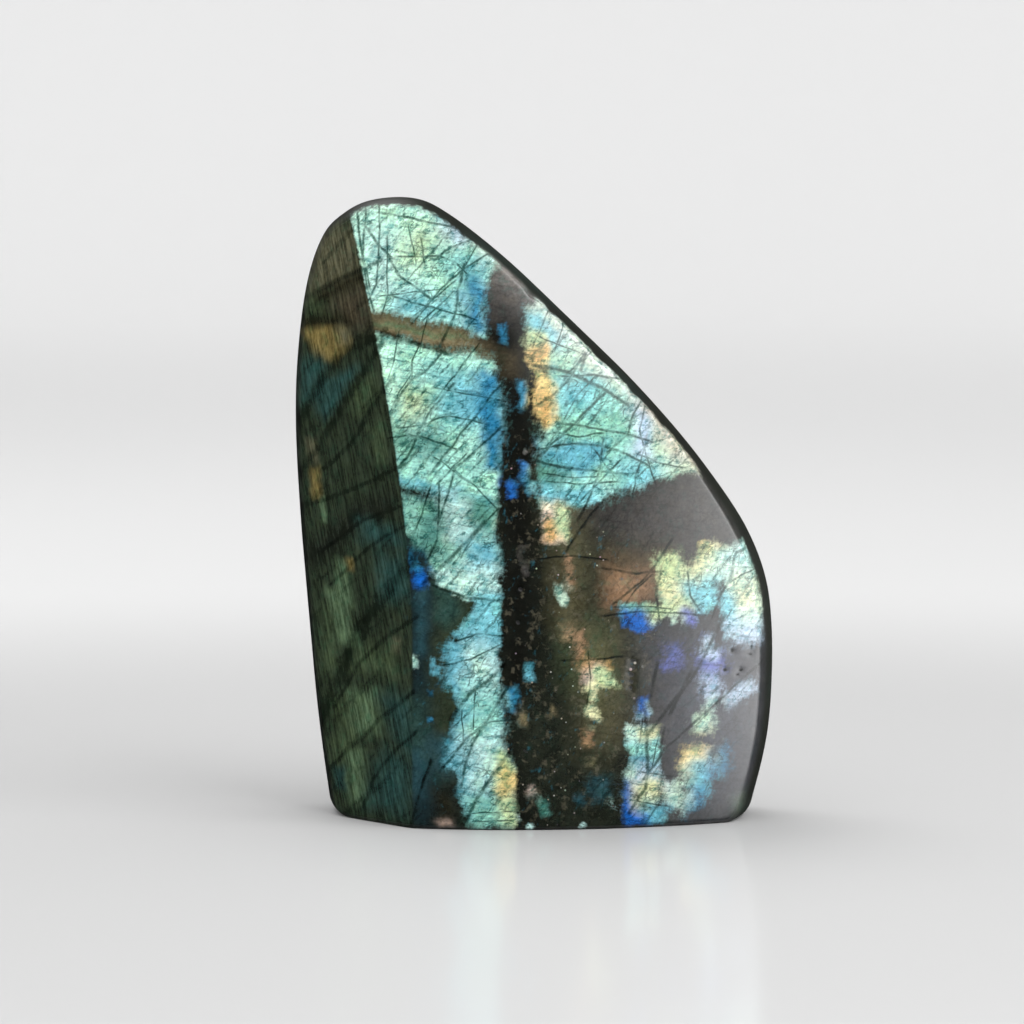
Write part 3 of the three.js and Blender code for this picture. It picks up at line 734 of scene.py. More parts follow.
# The flashes at the lower right
RIGHT_FLASH = (
    Patch(Tone.GOLD, ((26.3, 45), (28.8, 44.9), (29.2, 43.2), (26.4, 42.2)), 0.4),
    Patch(Tone.LEMON, ((19.5, 41.8), (22, 42.7), (24.6, 41), (26.6, 43.8), (29, 43.2), (29.4, 38.8),
        (26.6, 36.8), (25, 35.4), (22, 33.8), (20.2, 34.8), (19.3, 38)), 0.5),
    Patch(Tone.LIME, ((19.5, 43), (23, 43.2), (23.6, 41.4), (19.8, 40.8)), 0.8),
    Patch(Tone.SAGE, ((28.4, 44.2), (32.2, 44.4), (31.4, 40), (29.2, 38), (27.6, 40)), 0.5),
    Patch(Tone.PEARL, ((30.7, 43), (33.4, 45), (35.4, 41), (36.6, 34), (36.4, 30.8), (31.6, 30),
        (29.8, 33.6), (30.2, 38.5)), 0.4),
    Patch(Tone.LEMON, ((31.4, 39), (35, 38.6), (35.8, 34), (32.6, 33.6)), 1.2),
    Patch(Tone.CYAN, ((24.7, 38.8), (28.8, 39), (29.2, 35), (27.4, 33.9), (24.6, 33.5)), 0.6),
    Patch(Tone.CYAN, ((29.3, 36.4), (31, 36), (31.8, 30.4), (30.6, 29.8)), 0.5),
    Patch(Tone.LAVENDER, ((30.6, 31.4), (36.4, 31.2), (36.2, 28.6), (32.4, 28.8)), 0.7),
    Patch(Tone.JADE, ((13.8, 35.7), (19.1, 35.4), (19.3, 33.8), (13.7, 33.8)), 0.3),
    Patch(Tone.ROYAL, ((13.8, 33.9), (18.9, 33.5), (19.2, 31.9), (17, 31.4), (14.2, 32)), 0.35),
    Patch(Tone.LIME, ((19, 35.2), (24.6, 35), (24.6, 33.5), (19, 33.3)), 0.4),
    Patch(Tone.VIOLET, ((23.3, 33.8), (25.6, 33.6), (25.4, 31.8), (23.4, 32)), 0.5),
    Patch(Tone.SAGE, ((21.4, 32.9), (22, 32.9), (22, 31.8), (21.4, 31.8)), 0.2),
    Patch(Tone.VIOLET, ((26.2, 28), (29.8, 27.6), (30.6, 25.5), (29.4, 23.5), (28.6, 19.5), (27, 20),
        (26.2, 23)), 0.9),
    Patch(Tone.LAVENDER, ((26.9, 30), (28.2, 30), (27.8, 27.6), (26.7, 27.8)), 0.5),
    Patch(Tone.LAVENDER, ((26.7, 22.1), (28.8, 22.1), (28.8, 19.3), (27, 19.3)), 0.8),
    Patch(Tone.LAVENDER, ((30.5, 20.4), (34.8, 22.6), (35.4, 21.2), (31, 18.8)), 0.7),
    Patch(Tone.SAGE, ((25.4, 17.6), (28.2, 18.6), (28.6, 15), (25.6, 15)), 0.6),
    Patch(Tone.GOLD, ((23.6, 12.2), (27.8, 12.9), (28, 10), (26, 7.9), (22.9, 7.8)), 0.6),
    Patch(Tone.CYAN, ((25.9, 9.8), (27.9, 9.4), (28, 5.4), (25.5, 4.2), (23.3, 6.6)), 0.6),
    Patch(Tone.AZURE, ((23.7, 6.2), (26.4, 5.4), (26.4, 3.2), (23.2, 1.4)), 0.6),
    Patch(Tone.SAGE, ((20.1, 7.2), (23.2, 7.2), (23.4, 3.4), (21.4, 2.4)), 0.5),
    Patch(Tone.SAGE, ((16, 18.6), (18.4, 18.8), (18.2, 17.5), (16, 17.5)), 0.3),
    Patch(Tone.PEARL, ((14.4, 16.6), (17.5, 16.6), (17.5, 12), (15, 12.2), (14.2, 14)), 0.3),
    Patch(Tone.LEMON, ((16.6, 16.2), (19.6, 15.8), (20.2, 13), (17, 12.8)), 0.5),
    Patch(Tone.CYAN, ((15.2, 12.8), (19.8, 13.2), (20.2, 5.6), (17, 5), (14.6, 6.4)), 0.3),
    Patch(Tone.AQUA, ((15.4, 12.6), (19.4, 12.8), (19.2, 10), (15.6, 10)), 0.6),
    Patch(Tone.AZURE, ((16, 10.3), (17.9, 10.1), (17.9, 7.9), (16.2, 8.2)), 0.5),
    Patch(Tone.SAGE, ((14.6, 8.6), (16.3, 8.6), (16.3, 6.2), (14.6, 6.2)), 0.5),
    Patch(Tone.LAVENDER, ((17.3, 8.2), (20, 8), (20.2, 6), (17.2, 6.2)), 0.5),
    Patch(Tone.ROYAL, ((14.2, 6.4), (16, 6.2), (16.6, 3.4), (20.4, 2.2), (20, 0.6), (14.4, 0.6)), 0.4),
    Patch(Tone.LEMON, ((16.4, 6.1), (19.7, 6.3), (20, 3.4), (16.9, 3.2)), 0.5),
    Patch(Tone.SKY, ((18.2, 3), (21, 3.2), (20.8, 1.3), (18.2, 1.2)), 0.35),
    Patch(Tone.ROYAL, ((16.3, 18.6), (17.6, 18.6), (17.6, 20.5), (16.3, 20.5)), 0.5),
    Patch(Tone.AZURE, ((28.1, 7.8), (31, 9), (30.6, 12.6), (28.4, 11)), 1.0),
    Patch(Tone.VIOLET, ((20.7, 25.3), (23.1, 25.8), (22.8, 28.5), (20.9, 28)), 1.0),
)

# Pale grains and specks
GRAIN_FLASH = (
    Patch(Tone.TAN, ((2.8, 18.6), (3.5, 18.6), (3.5, 19.7), (2.8, 19.7)), 0.3),
    Patch(Tone.OLIVE, ((7.9, 10.2), (9.5, 10.4), (9.4, 11.3), (8, 11.2)), 0.4),
    Patch(Tone.ROSE, ((-1.2, 5.8), (0.2, 5.9), (0, 7), (-1, 6.8)), 0.3),
    Patch(Tone.PEARL, ((-1.3, 0.6), (-0.6, 0.6), (-0.6, 1.2), (-1.3, 1.2)), 0.2),
    Patch(Tone.PEARL, ((6.9, 0.4), (7.8, 0.4), (7.7, 1), (7, 1)), 0.2),
    Patch(Tone.PEARL, ((12, 3.2), (12.5, 3.2), (12.5, 3.8), (12, 3.8)), 0.2),
    Patch(Tone.ASH, ((-1.7, 59.5), (-1.2, 59.5), (-1.2, 60), (-1.7, 60)), 0.2),
    Patch(Tone.SMOKE, ((-2.5, 43.6), (-1.7, 45.2), (-1.2, 45), (-1.6, 43.4), (-0.8, 40.2),
        (-1.6, 40.1)), 0.3),
)

FLASH = (
    *HEAD_FLASH, *MIDDLE_FLASH, *STRIP_FLASH, *CREST_FLASH, *VEIN_FLASH, *SHOULDER_FLASH, *MIDST_FLASH,
        *RIGHT_FLASH, *GRAIN_FLASH,
)

CRACKS = (
    Crack(((-28, 96.3), (-27.2, 90.2), (-26.6, 85.7), (-25.6, 82.5)), 0.2),
    Crack(((-26.6, 98.8), (-26.9, 93.7), (-27.2, 90.2), (-26.2, 86)), 0.2),
    Crack(((-24.5, 98.8), (-24.5, 92.1), (-24.9, 85.7), (-25.7, 84.1)), 0.16),
    Crack(((-23.2, 92.1), (-23.2, 84.1), (-23.8, 82)), 0.14),
    Crack(((-26.2, 94.1), (-25, 92.4), (-23.4, 90.8)), 0.22),
    Crack(((-22.6, 89.4), (-21.2, 87), (-19.3, 85.7), (-17.2, 84.1)), 0.22),
    Crack(((-23, 96.8), (-19.6, 96.2), (-13.3, 94.9)), 0.2),
    Crack(((-19.6, 93.9), (-18.9, 90.2)), 0.12),
    Crack(((-17.8, 92.1), (-17.5, 90.2)), 0.14),
    Crack(((-20.4, 90.2), (-15.3, 90.2), (-12.5, 89.4), (-11.2, 88.1)), 0.16),
    Crack(((-11.2, 88.1), (-8.9, 92.1), (-8.5, 94.2)), 0.14),
    Crack(((-11.2, 88.1), (-7, 90.8), (-5.8, 92.2)), 0.16),
    Crack(((-11.2, 88.1), (-13.3, 86.5), (-14.9, 84.9), (-18.6, 80.4)), 0.16),
    Crack(((-11.2, 88.1), (-12, 84.9), (-12.3, 81.7), (-13.3, 79.3), (-14.4, 76.9)), 0.24),
    Crack(((-14.9, 90.2), (-13.3, 91.6), (-10.1, 92.7), (-9.2, 93.7)), 0.18),
    Crack(((-21.2, 83.6), (-17.2, 82.5), (-13.3, 81.5), (-10.1, 80.6)), 0.16),
    Crack(((-18, 81.7), (-13.3, 85.7)), 0.14),
    Crack(((-16.8, 80.9), (-13.3, 84.1)), 0.13),
    Crack(((-23.5, 84), (-19, 84.6), (-15.4, 84.9)), 0.1),
    Crack(((-17, 80.2), (-17.8, 76.4)), 0.12),
    Crack(((-26.7, 77.3), (-23.5, 77.9), (-20.4, 77.1), (-18.3, 76.4), (-13.6, 74.9)), 0.4),
    Crack(((-21.5, 77.3), (-22.4, 73), (-22.8, 71.7)), 0.13),
    Crack(((-18.3, 75.8), (-19.3, 73.8), (-19.3, 71.7)), 0.13),
    Crack(((-9.3, 75.8), (-10.9, 73.8), (-13.3, 70.6), (-14.9, 68.5)), 0.16),
    Crack(((-13.3, 69.5), (-15.6, 66.9), (-16.8, 65.3), (-18, 63.1), (-19.3, 59.9), (-20.7, 57.9)), 0.22),
    Crack(((-14.9, 74.6), (-17.2, 72.2), (-19.6, 70.6), (-21.2, 68.2), (-22.4, 65.8)), 0.22),
    Crack(((-19.8, 71.1), (-21.2, 69), (-22.3, 66.6)), 0.14),
    Crack(((-20.4, 63.4), (-17.2, 63.9), (-14.9, 65), (-13.3, 65.3), (-9.3, 64.4)), 0.15),
    Crack(((-14.9, 69.5), (-10.9, 68.8), (-7.7, 68.2)), 0.13),
    Crack(((-5.7, 69.5), (-7.3, 67.9), (-9.3, 65), (-11.7, 62.3), (-13.7, 59.5), (-15.6, 57)), 0.2),
    Crack(((-5.7, 63), (-10.1, 59), (-12.5, 57.1), (-13.3, 53.9), (-14.6, 50)), 0.2),
    Crack(((-14.9, 58.2), (-11, 55.4)), 0.14),
    Crack(((-14.5, 55.4), (-11.4, 58.6)), 0.13),
    Crack(((-21.8, 61.8), (-19.6, 62.3), (-17.2, 61.8), (-13.3, 60.4)), 0.16),
    Crack(((-12, 56.4), (-9, 54), (-6.6, 51.6)), 0.14),
    Crack(((-8.5, 47.9), (-10.9, 45.2), (-13.3, 42.8), (-14.9, 41.4), (-16.4, 39.9)), 0.34),
    Crack(((-6.4, 50), (-9.4, 47), (-11, 44)), 0.16),
    Crack(((-14.9, 38.3), (-12.5, 37.5), (-10.9, 36.7), (-6.4, 36.5)), 0.24),
    Crack(((-16.6, 53.1), (-17.4, 50.7), (-18.3, 48.3)), 0.16),
    Crack(((-14.9, 53.9), (-15, 50), (-15.3, 46), (-16.4, 43.6)), 0.18),
    Crack(((-11.6, 30.2), (-9, 31.2), (-6, 31)), 0.16),
    Crack(((-13.2, 26.4), (-10, 27.2), (-7, 28.6), (-5.6, 29.4)), 0.15),
    Crack(((-5.4, 25.6), (-7.3, 23.7), (-10.1, 21.8), (-12.5, 18.6)), 0.32),
    Crack(((-4.9, 21.6), (-6.5, 18.9), (-8.2, 16.5), (-9.8, 13.4), (-10.9, 10.2), (-11.4, 7.8)), 0.24),
    Crack(((-8.5, 16.2), (-10.9, 14.5), (-12.5, 12.2), (-14.1, 10.2)), 0.22),
    Crack(((-4.1, 17.6), (-7, 17.3), (-8.5, 16.4)), 0.14),
    Crack(((-4.4, 11.8), (-6.2, 9.4), (-8.1, 6.5), (-9.3, 4.6), (-10.1, 2.7)), 0.3),
    Crack(((-9.3, 21.3), (-9.5, 17.3)), 0.12),
    Crack(((-11.4, 18.1), (-11.2, 14.9)), 0.12),
    Crack(((-9.6, 2.7), (-4.6, 3)), 0.12),
    Crack(((-8.5, 1.4), (-4.6, 1.6)), 0.12),
    Crack(((1.1, 73), (5.7, 71.9), (10.4, 69.8), (13.8, 67.6)), 0.3),
    Crack(((0.2, 66.9), (2.5, 68.2), (4.1, 69.5), (6, 71.7), (7.6, 74.6)), 0.2),
    Crack(((10.4, 68.2), (8.8, 66.6), (6.5, 64.2), (2.2, 60.3)), 0.24),
    Crack(((8.8, 70.6), (6.8, 68.5), (4.9, 65)), 0.14),
    Crack(((5.4, 71.4), (9.4, 71.6), (13.6, 70.9), (17, 70.4)), 0.18),
    Crack(((1.6, 60.3), (6, 60.9), (10.4, 60.6), (14.6, 59.2), (17.4, 57.6)), 0.2),
    Crack(((1.4, 58), (4.1, 57.2), (10.4, 56.5), (13.6, 56.2)), 0.22),
    Crack(((2.9, 82.8), (1.8, 80.9), (0.2, 77)), 0.14),
    Crack(((10.4, 51.5), (8.5, 49.4), (7, 47.2), (5.7, 45.2)), 0.2),
    Crack(((1.8, 43.1), (6, 43.4), (10.4, 42.8)), 0.16),
    Crack(((4.6, 81.8), (4.4, 78.8), (3.6, 76.6)), 0.12),
    Crack(((1, 77.6), (3.4, 76.6), (6, 75.6)), 0.12),
    Crack(((5.8, 72.4), (7.6, 74), (9.6, 76)), 0.18),
    Crack(((7.6, 73.2), (8, 74.6)), 0.28),
    Crack(((5, 64), (10, 63.2), (15, 62.2), (17.4, 61.4)), 0.2),
    Crack(((4, 62.6), (7, 62), (9.6, 62.4)), 0.16),
    Crack(((17.4, 68), (15.4, 65), (14.8, 62.4), (12.4, 60.2)), 0.18),
    Crack(((17.8, 67.4), (16.6, 63), (17.6, 59), (18.8, 55.4)), 0.15),
    Crack(((17.2, 59.4), (16, 56), (15.6, 53.4)), 0.16),
    Crack(((10.8, 60.6), (10.4, 57), (9, 53), (7.4, 50)), 0.2),
    Crack(((17.2, 58.8), (20, 57.6), (23, 57)), 0.14),
    Crack(((3, 55), (7, 54.6), (12, 54.8)), 0.14),
    Crack(((13, 57.6), (10.4, 55), (8, 52.6)), 0.15),
    Crack(((2.4, 56.2), (6, 55.6), (9.4, 55.6)), 0.12),
    Crack(((12, 56.6), (10.2, 59)), 0.16),
    Crack(((33.8, 43.8), (32, 43), (31.2, 39), (29.6, 36.6), (28.6, 34)), 0.22),
    Crack(((24.4, 39.4), (24.8, 36.6), (26, 34.6)), 0.18),
    Crack(((21.2, 44.8), (19.6, 42.4), (17.4, 39.4), (13.4, 36.4)), 0.2),
    Crack(((12, 41.2), (16, 40.4), (19.4, 40.6)), 0.2),
    Crack(((17.8, 39.4), (16, 37.8), (14.6, 36)), 0.16),
    Crack(((19.8, 39.6), (19.2, 36.8), (19.6, 34.4)), 0.22),
    Crack(((31, 38.4), (33, 39.6), (34.4, 40)), 0.14),
    Crack(((12, 34), (17, 34.4), (22, 34), (26, 33.6)), 0.18),
    Crack(((13.6, 35.2), (18, 35.2), (21, 34.8)), 0.12),
    Crack(((5.6, 27), (9, 27), (13, 27.4)), 0.18),
    Crack(((8.6, 27), (8.9, 24), (8.4, 20.6)), 0.14),
    Crack(((17.6, 17.4), (17.8, 12), (18, 9), (17.7, 6.4), (15.6, 3.2)), 0.3),
    Crack(((17.9, 8.6), (20, 11.4), (20.4, 14.6)), 0.22),
    Crack(((17.9, 8.8), (20.8, 8.2)), 0.16),
    Crack(((17, 16.4), (16.4, 12.6)), 0.14),
    Crack(((19.4, 13.4), (18.8, 10.6)), 0.12),
    Crack(((16.4, 4.2), (20.4, 3.4)), 0.14),
    Crack(((18.4, 15.6), (25.4, 24), (29.6, 32)), 0.3),
    Crack(((21, 12.6), (26, 17), (32, 22), (35.6, 25)), 0.2),
    Crack(((22, 19), (24.4, 23.6)), 0.3),
    Crack(((18.6, 22), (19.2, 25)), 0.3),
)

FACET_CRACKS = (
    Crack(((-24.6, 77.6), (-30.7, 74.9), (-33, 71.7), (-35.7, 67.4), (-37.4, 64)), 0.75),
    Crack(((-24.6, 75.8), (-27.8, 70.6), (-29.9, 67.4), (-32.2, 63.4), (-35.1, 58.7), (-37.4, 55.5)), 0.6),
    Crack(((-23, 70), (-26, 66), (-29, 60.4), (-33, 56.6)), 0.4),
    Crack(((-21.4, 57), (-25.9, 54.6), (-29.1, 53), (-32.2, 51.6), (-35.4, 50.4), (-37.4, 49.8)), 0.35),
    Crack(((-20, 41.6), (-24.3, 35.6), (-27.5, 31.6), (-31.4, 22.1), (-34, 16)), 0.9),
    Crack(((-19.4, 33), (-24, 29.6), (-28.4, 24.6), (-31.6, 18.6)), 0.35),
    Crack(((-19.9, 21), (-24.6, 16.8), (-26.2, 14.6), (-28.3, 12.6), (-29.9, 11), (-32.2, 8.4)), 0.35),
    Crack(((-19.4, 14.8), (-22.4, 11.8), (-25.4, 7.3), (-27, 3)), 0.28),
    Crack(((-16.6, 10), (-18.6, 4), (-19.4, 1.1)), 0.26),
    Crack(((-36.2, 83.4), (-30.6, 86.6), (-25.4, 89)), 0.4),
    Crack(((-22, 50.6), (-27, 48.4), (-33, 43.6)), 0.3),
    Crack(((-21, 47.6), (-26, 44.4), (-32, 38)), 0.3),
)


BACK_GROUND = (
    Patch(Tone.SMOKE, ((-30, 90), (-16, 97), (-12, 70), (-30, 64)), 4.0),
    Patch(Tone.PITCH, ((-16, 92), (-8, 92), (-4, 40), (-10, 2), (-16, 2), (-13, 50)), 2.0),
    Patch(Tone.MOSS, ((-36, 60), (-18, 62), (-18, 20), (-34, 16)), 3.0),
    Patch(Tone.SMOKE, ((8, 70), (30, 50), (36, 20), (20, 10), (10, 40)), 4.0),
    Patch(Tone.UMBER, ((-4, 30), (16, 34), (30, 12), (28, 2), (-2, 2)), 2.5),
)

BACK_FLASH = (
    Patch(Tone.PEACOCK, ((-31, 86), (-24, 94), (-18, 92), (-19, 74), (-24, 58), (-30, 54), (-29, 70)), 2.6),
    Patch(Tone.TEAL, ((-26, 88), (-21, 90), (-21, 78), (-25, 72), (-27, 79)), 2.4),
    Patch(Tone.PEACOCK, ((-4, 88), (9, 74), (19, 61), (15, 50), (6, 44), (-1, 50), (-4, 68)), 2.8),
    Patch(Tone.TEAL, ((0, 80), (9, 70), (14, 60), (9, 54), (2, 58), (-1, 70)), 2.6),
    Patch(Tone.JADE, ((3, 72), (8, 67), (9, 61), (4, 63)), 2.2),
    Patch(Tone.PEACOCK, ((-34, 44), (-26, 50), (-21, 42), (-23, 22), (-20, 8), (-28, 8), (-31, 26)), 2.8),
    Patch(Tone.BRONZE, ((-28, 22), (-24, 24), (-23, 14), (-27, 11)), 2.0),
    Patch(Tone.PEACOCK, ((18, 46), (31, 42), (35, 28), (30, 12), (22, 10), (20, 28)), 2.8),
    Patch(Tone.TEAL, ((24, 39), (30, 36), (31, 26), (26, 20), (23, 29)), 2.4),
    Patch(Tone.PEACOCK, ((-5, 24), (0, 28), (4, 18), (1, 8), (-4, 10)), 2.2),
    Patch(Tone.AZURE, ((-3, 20), (1, 22), (2, 15), (-2, 12)), 2.0),
)

VEINS = (
    Patch(Tone.PITCH, ((-9, 62), (-1, 62), (2, 50), (14, 46), (20, 30), (13, 4), (-5, 0), (-8, 20)), 3.0),
    Patch(Tone.NIGHT, ((-20, 44), (-12, 40), (-13, 24), (-12, 4), (-18, 2), (-19, 20)), 2.0),
)

# The deep pit, where pale specks are painted glints of light inside it.
DEEP_PIT = Patch(Tone.PITCH, ((14.6, 22), (15.4, 27.2), (16.8, 27), (16.6, 21.5), (15.6, 20.6)), 0.5)


@dataclass(frozen=True)
class Pit:
    """A small open pit in the front, in mm."""

    x: float
    z: float
    radius: float
    depth: float

    def share(self, x: np.ndarray, z: np.ndarray) -> np.ndarray:
        """Return how much of the pit's depth lies at each point, from 0 to 1."""
        return np.exp(-(np.hypot(x - self.x, z - self.z) / self.radius) ** 2)


# Each pit is dented into the mesh, and its hollow is also darkened as painted shade.
PITS = (
    Pit(31.6, 27.6, 0.42, 0.2), Pit(32.9, 24.4, 0.4, 0.2), Pit(32.3, 23.8, 0.34, 0.16),
    Pit(30.3, 24.6, 0.38, 0.18), Pit(34.7, 28.0, 0.4, 0.2), Pit(34.4, 26.9, 0.38, 0.18),
    Pit(28.9, 19.4, 0.34, 0.15), Pit(26.2, 21.6, 0.34, 0.15), Pit(15.6, 26.6, 0.5, 0.2),
    Pit(15.5, 25.6, 0.45, 0.22), Pit(15.3, 24.5, 0.5, 0.25), Pit(15.2, 23.4, 0.45, 0.22),
    Pit(15.1, 22.4, 0.4, 0.2), Pit(-2.2, 38.2, 0.4, 0.15), Pit(-2.6, 33.0, 0.4, 0.15),
    Pit(-1.4, 12.6, 0.4, 0.15),
)


@dataclass(frozen=True)
class Paint:
    """What one face shows: its ground tone, the ground patches on it and the flashes over them."""

    base: Tone
    ground: tuple[Patch, ...]
    flash: tuple[Patch, ...] = ()
    bleed: float = 0.9
    margin: float = 3.0
    spread: float = 1.0

    def blended(self, at: np.ndarray, patches: tuple[Patch, ...],
                bleed: float) -> tuple[np.ndarray, np.ndarray]:
        """Lay patches over the base tone, one after the other.

        Args:
            at: The x and z of the points.
            patches: The patches, the last one on top.
            bleed: How far a patch's tone reaches past its outline.

        Returns:
            The colour at each point, and how fully patches cover it.
        """
        colour = np.tile(self.base.linear(), (len(at), 1))
        cover = np.zeros(len(at))
        for patch in patches:
            corners = np.array(patch.outline)
            soft = patch.soft * self.spread
            reach = soft + bleed + self.margin
            near = np.all((at > corners.min(axis=0) - reach) & (at < corners.max(axis=0) + reach), axis=1)
            spots = np.flatnonzero(near)
            inside = patch.inside(at[spots])
            weight = smooth_step(-soft - bleed, soft - bleed, inside)[:, None]
            colour[spots] += (patch.tone.linear() - colour[spots]) * weight
            cover[spots] = np.maximum(cover[spots], smooth_step(-soft, soft * 0.6, inside))
        return colour, cover


class Draw(Enum):
    """The random fields that move the markings, each under a number of its own."""

    FACE = 11
    CRACKS = 15
    WALL = 31
    FLASH = 41
    BACK = 61


@dataclass
class Markings:
    """What lies inside the stone, worked out at the points of its mesh, with its sizes in mm."""

    facet: Paint = Paint(Tone.BOTTLE, SHADED_FACET_GROUND, spread=2.4)
    face: Paint = Paint(Tone.MATRIX, FACE_GROUND, FLASH, spread=3.4)
    back: Paint = Paint(Tone.MATRIX, BACK_GROUND, BACK_FLASH, spread=1.6)
    waves: tuple[Point, ...] = ((0.9, 0.4), (2.0, 0.55), (5.5, 0.6))
    ground_stray: float = 0.55
    flash_stray: float = 1.1
    back_stray: float = 2.6
    crack_stray: float = 0.12
    crack_wave: float = 1.6
    wall_wave: float = 7.0
    wall_cloud_start: float = -0.2
    wall_cloud_full: float = 0.8
    wall_tint: float = 0.3
    crest_softness: float = 0.25
    edge_start: float = 0.4
    edge_end: float = 2.4
    dull_start: float = -0.4
    dull_full: float = 0.3
    # The rim and head fields place a painted shade that dims the flashes along the top edge.
    rim_steps: int = 150
    rim_shade_start: float = -0.4
    rim_shade_full: float = 2.6
    rim_shade_share: float = 0.25
    head_shade_start: float = 86.0
    head_shade_full: float = 95.0
    sawn_top: float = 0.6
    sawn_full: float = 0.2
    sheets: int = 6
    sheet_gap: float = 3.0
    crack_reach: float = 0.7
    farthest: float = 9.0
    calm: float = 0.9
    calm_from: float = 0.35
    calm_until: float = 0.2

    def strayed(self, at: np.ndarray, draw: Draw, reach: float) -> np.ndarray:
        """Return the points moved a little at random, so that outlines drawn straight come out natural.

        Args:
            at: The x and z of the points.
            draw: Which of the random fields is wanted.
            reach: About how far the points move, in mm.

        Returns:
            The moved points.
        """
        moves = np.zeros(at.shape)
        for k, (size, share) in enumerate(self.waves):
            seeds = (draw.value + 2 * k, draw.value + 2 * k + 1)
            moves += share * np.stack([wander(at, size, seed) for seed in seeds], axis=1)
        return at + reach * moves

    def calmed(self, colours: np.ndarray) -> np.ndarray:
        """Return the flash colours a little less vivid, apart from the deep blues."""
        brightest = colours.max(axis=1, keepdims=True)
        deep = smooth_step(self.calm_from, self.calm_until, colours.mean(axis=1, keepdims=True))
        return brightest - (brightest - colours) * (self.calm + (1.0 - self.calm) * deep)

    def sorted_cracks(self) -> list[list[Crack]]:
        """Sort the cracks into sheets, so that those in one sheet never meet."""
        sheets: list[list[Crack]] = [[] for _ in range(self.sheets)]
        for crack in CRACKS + FACET_CRACKS:
            gaps = [min((clearance(crack, other) for other in sheet), default=math.inf) for sheet in sheets]
            free = [k for k, gap in enumerate(gaps) if gap > self.sheet_gap]
            sheets[free[0] if free else int(np.argmax(gaps))].append(crack)
        return sheets

    def cracks(self, at: np.ndarray) -> tuple[np.ndarray, np.ndarray]:
        """Return where the cracks run.

        Args:
            at: The x and z of the points.

        Returns:
            For each sheet, the distance to the nearest crack in half widths, and how fully it shows there.
        """
        seeds = (Draw.CRACKS.value, Draw.CRACKS.value + 1)
        at = at + self.crack_stray * np.stack([wander(at, self.crack_wave, seed) for seed in seeds], axis=1)
        sides, shares = [], []
        for sheet in self.sorted_cracks():
            nearest = np.full(len(at), np.inf)
            side = np.full(len(at), self.farthest)
            share = np.zeros(len(at))
            for crack in sheet:
                offset, away = crack.distance(at)
                closer = away < nearest
                nearest = np.where(closer, away, nearest)
                side = np.where(closer, offset / crack.half_width, side)
                start = self.crack_reach + crack.half_width
                share = np.where(closer, 1.0 - smooth_step(start, 2.0 * start, away), share)
            sides.append(np.clip(side, -self.farthest, self.farthest))
            shares.append(share)
        return np.array(sides), np.array(shares)

    def ground(self, points: np.ndarray, facet: np.ndarray, on_front: np.ndarray,
               on_back: np.ndarray) -> np.ndarray:
        """Return the colour of the dark stone, with painted shade in the left facet's tones.

        Args:
            points: The x, y and z of the points, in mm.
            facet: How far each point belongs to the left facet, from 0 to 1.
            on_front: How far it belongs to the front, from 0 to 1.
            on_back: Whether it lies on the back.

        Returns:
            The colour at each point.
        """
        at = points[:, [0, 2]]
        strayed = self.strayed(at, Draw.FACE, self.ground_stray)
        front, _ = self.face.blended(strayed, self.face.ground, 0.0)
        # The facet's tones carry painted shade as well as its markings.
        left, _ = self.facet.blended(strayed, self.facet.ground, 0.0)
        front += (left - front) * facet[:, None]
        back, _ = self.back.blended(self.strayed(at, Draw.BACK, self.back_stray), self.back.ground, 0.0)
        field = wander(points[:, 1:], self.wall_wave, Draw.WALL.value)
        clouds = smooth_step(self.wall_cloud_start, self.wall_cloud_full, field)[:, None]
        wall = Tone.EDGE.linear() + (Tone.DEEP_TEAL.linear() - Tone.EDGE.linear()) * self.wall_tint * clouds
        return np.where(on_back[:, None], back, wall + (front - wall) * on_front[:, None])

    def flashes(self, at: np.ndarray, shape: StoneShape, on_face: np.ndarray,
                on_back: np.ndarray) -> tuple[np.ndarray, np.ndarray]:
        """Return the flashes, dimmed by a painted shade towards the rim near the head of the stone.

        Args:
            at: The x and z of the points.
            shape: The form of the stone.
            on_face: How far each point belongs to the domed face, from 0 to 1.
            on_back: Whether it lies on the back.

        Returns:
            The colour at each point, and how fully the flash shows there.
        """
        ground_at = self.strayed(at, Draw.FACE, self.ground_stray)
        flash_at = self.strayed(at, Draw.FLASH, self.flash_stray)
        back_at = self.strayed(at, Draw.BACK, self.back_stray)
        front, _ = self.face.blended(flash_at, self.face.flash, self.face.bleed)
        _, front_cover = self.face.blended(ground_at, self.face.flash, self.face.bleed)
        back, back_cover = self.back.blended(back_at, self.back.flash, self.back.bleed)
        # Painted shade: near the head, the flashes dim within a few mm of the outline.
        rim = Patch(Tone.EDGE, tuple(map(tuple, shape.contour_samples(self.rim_steps)))).inside(at)
        kept = smooth_step(self.rim_shade_start, self.rim_shade_full, rim)
        kept += (1.0 - kept) * (1.0 - smooth_step(self.head_shade_start, self.head_shade_full, at[:, 1]))
        front_cover *= on_face * (self.rim_shade_share + (1.0 - self.rim_shade_share) * kept)
        colour = self.calmed(np.where(on_back[:, None], back, front))
        return colour, np.where(on_back, back_cover, front_cover)

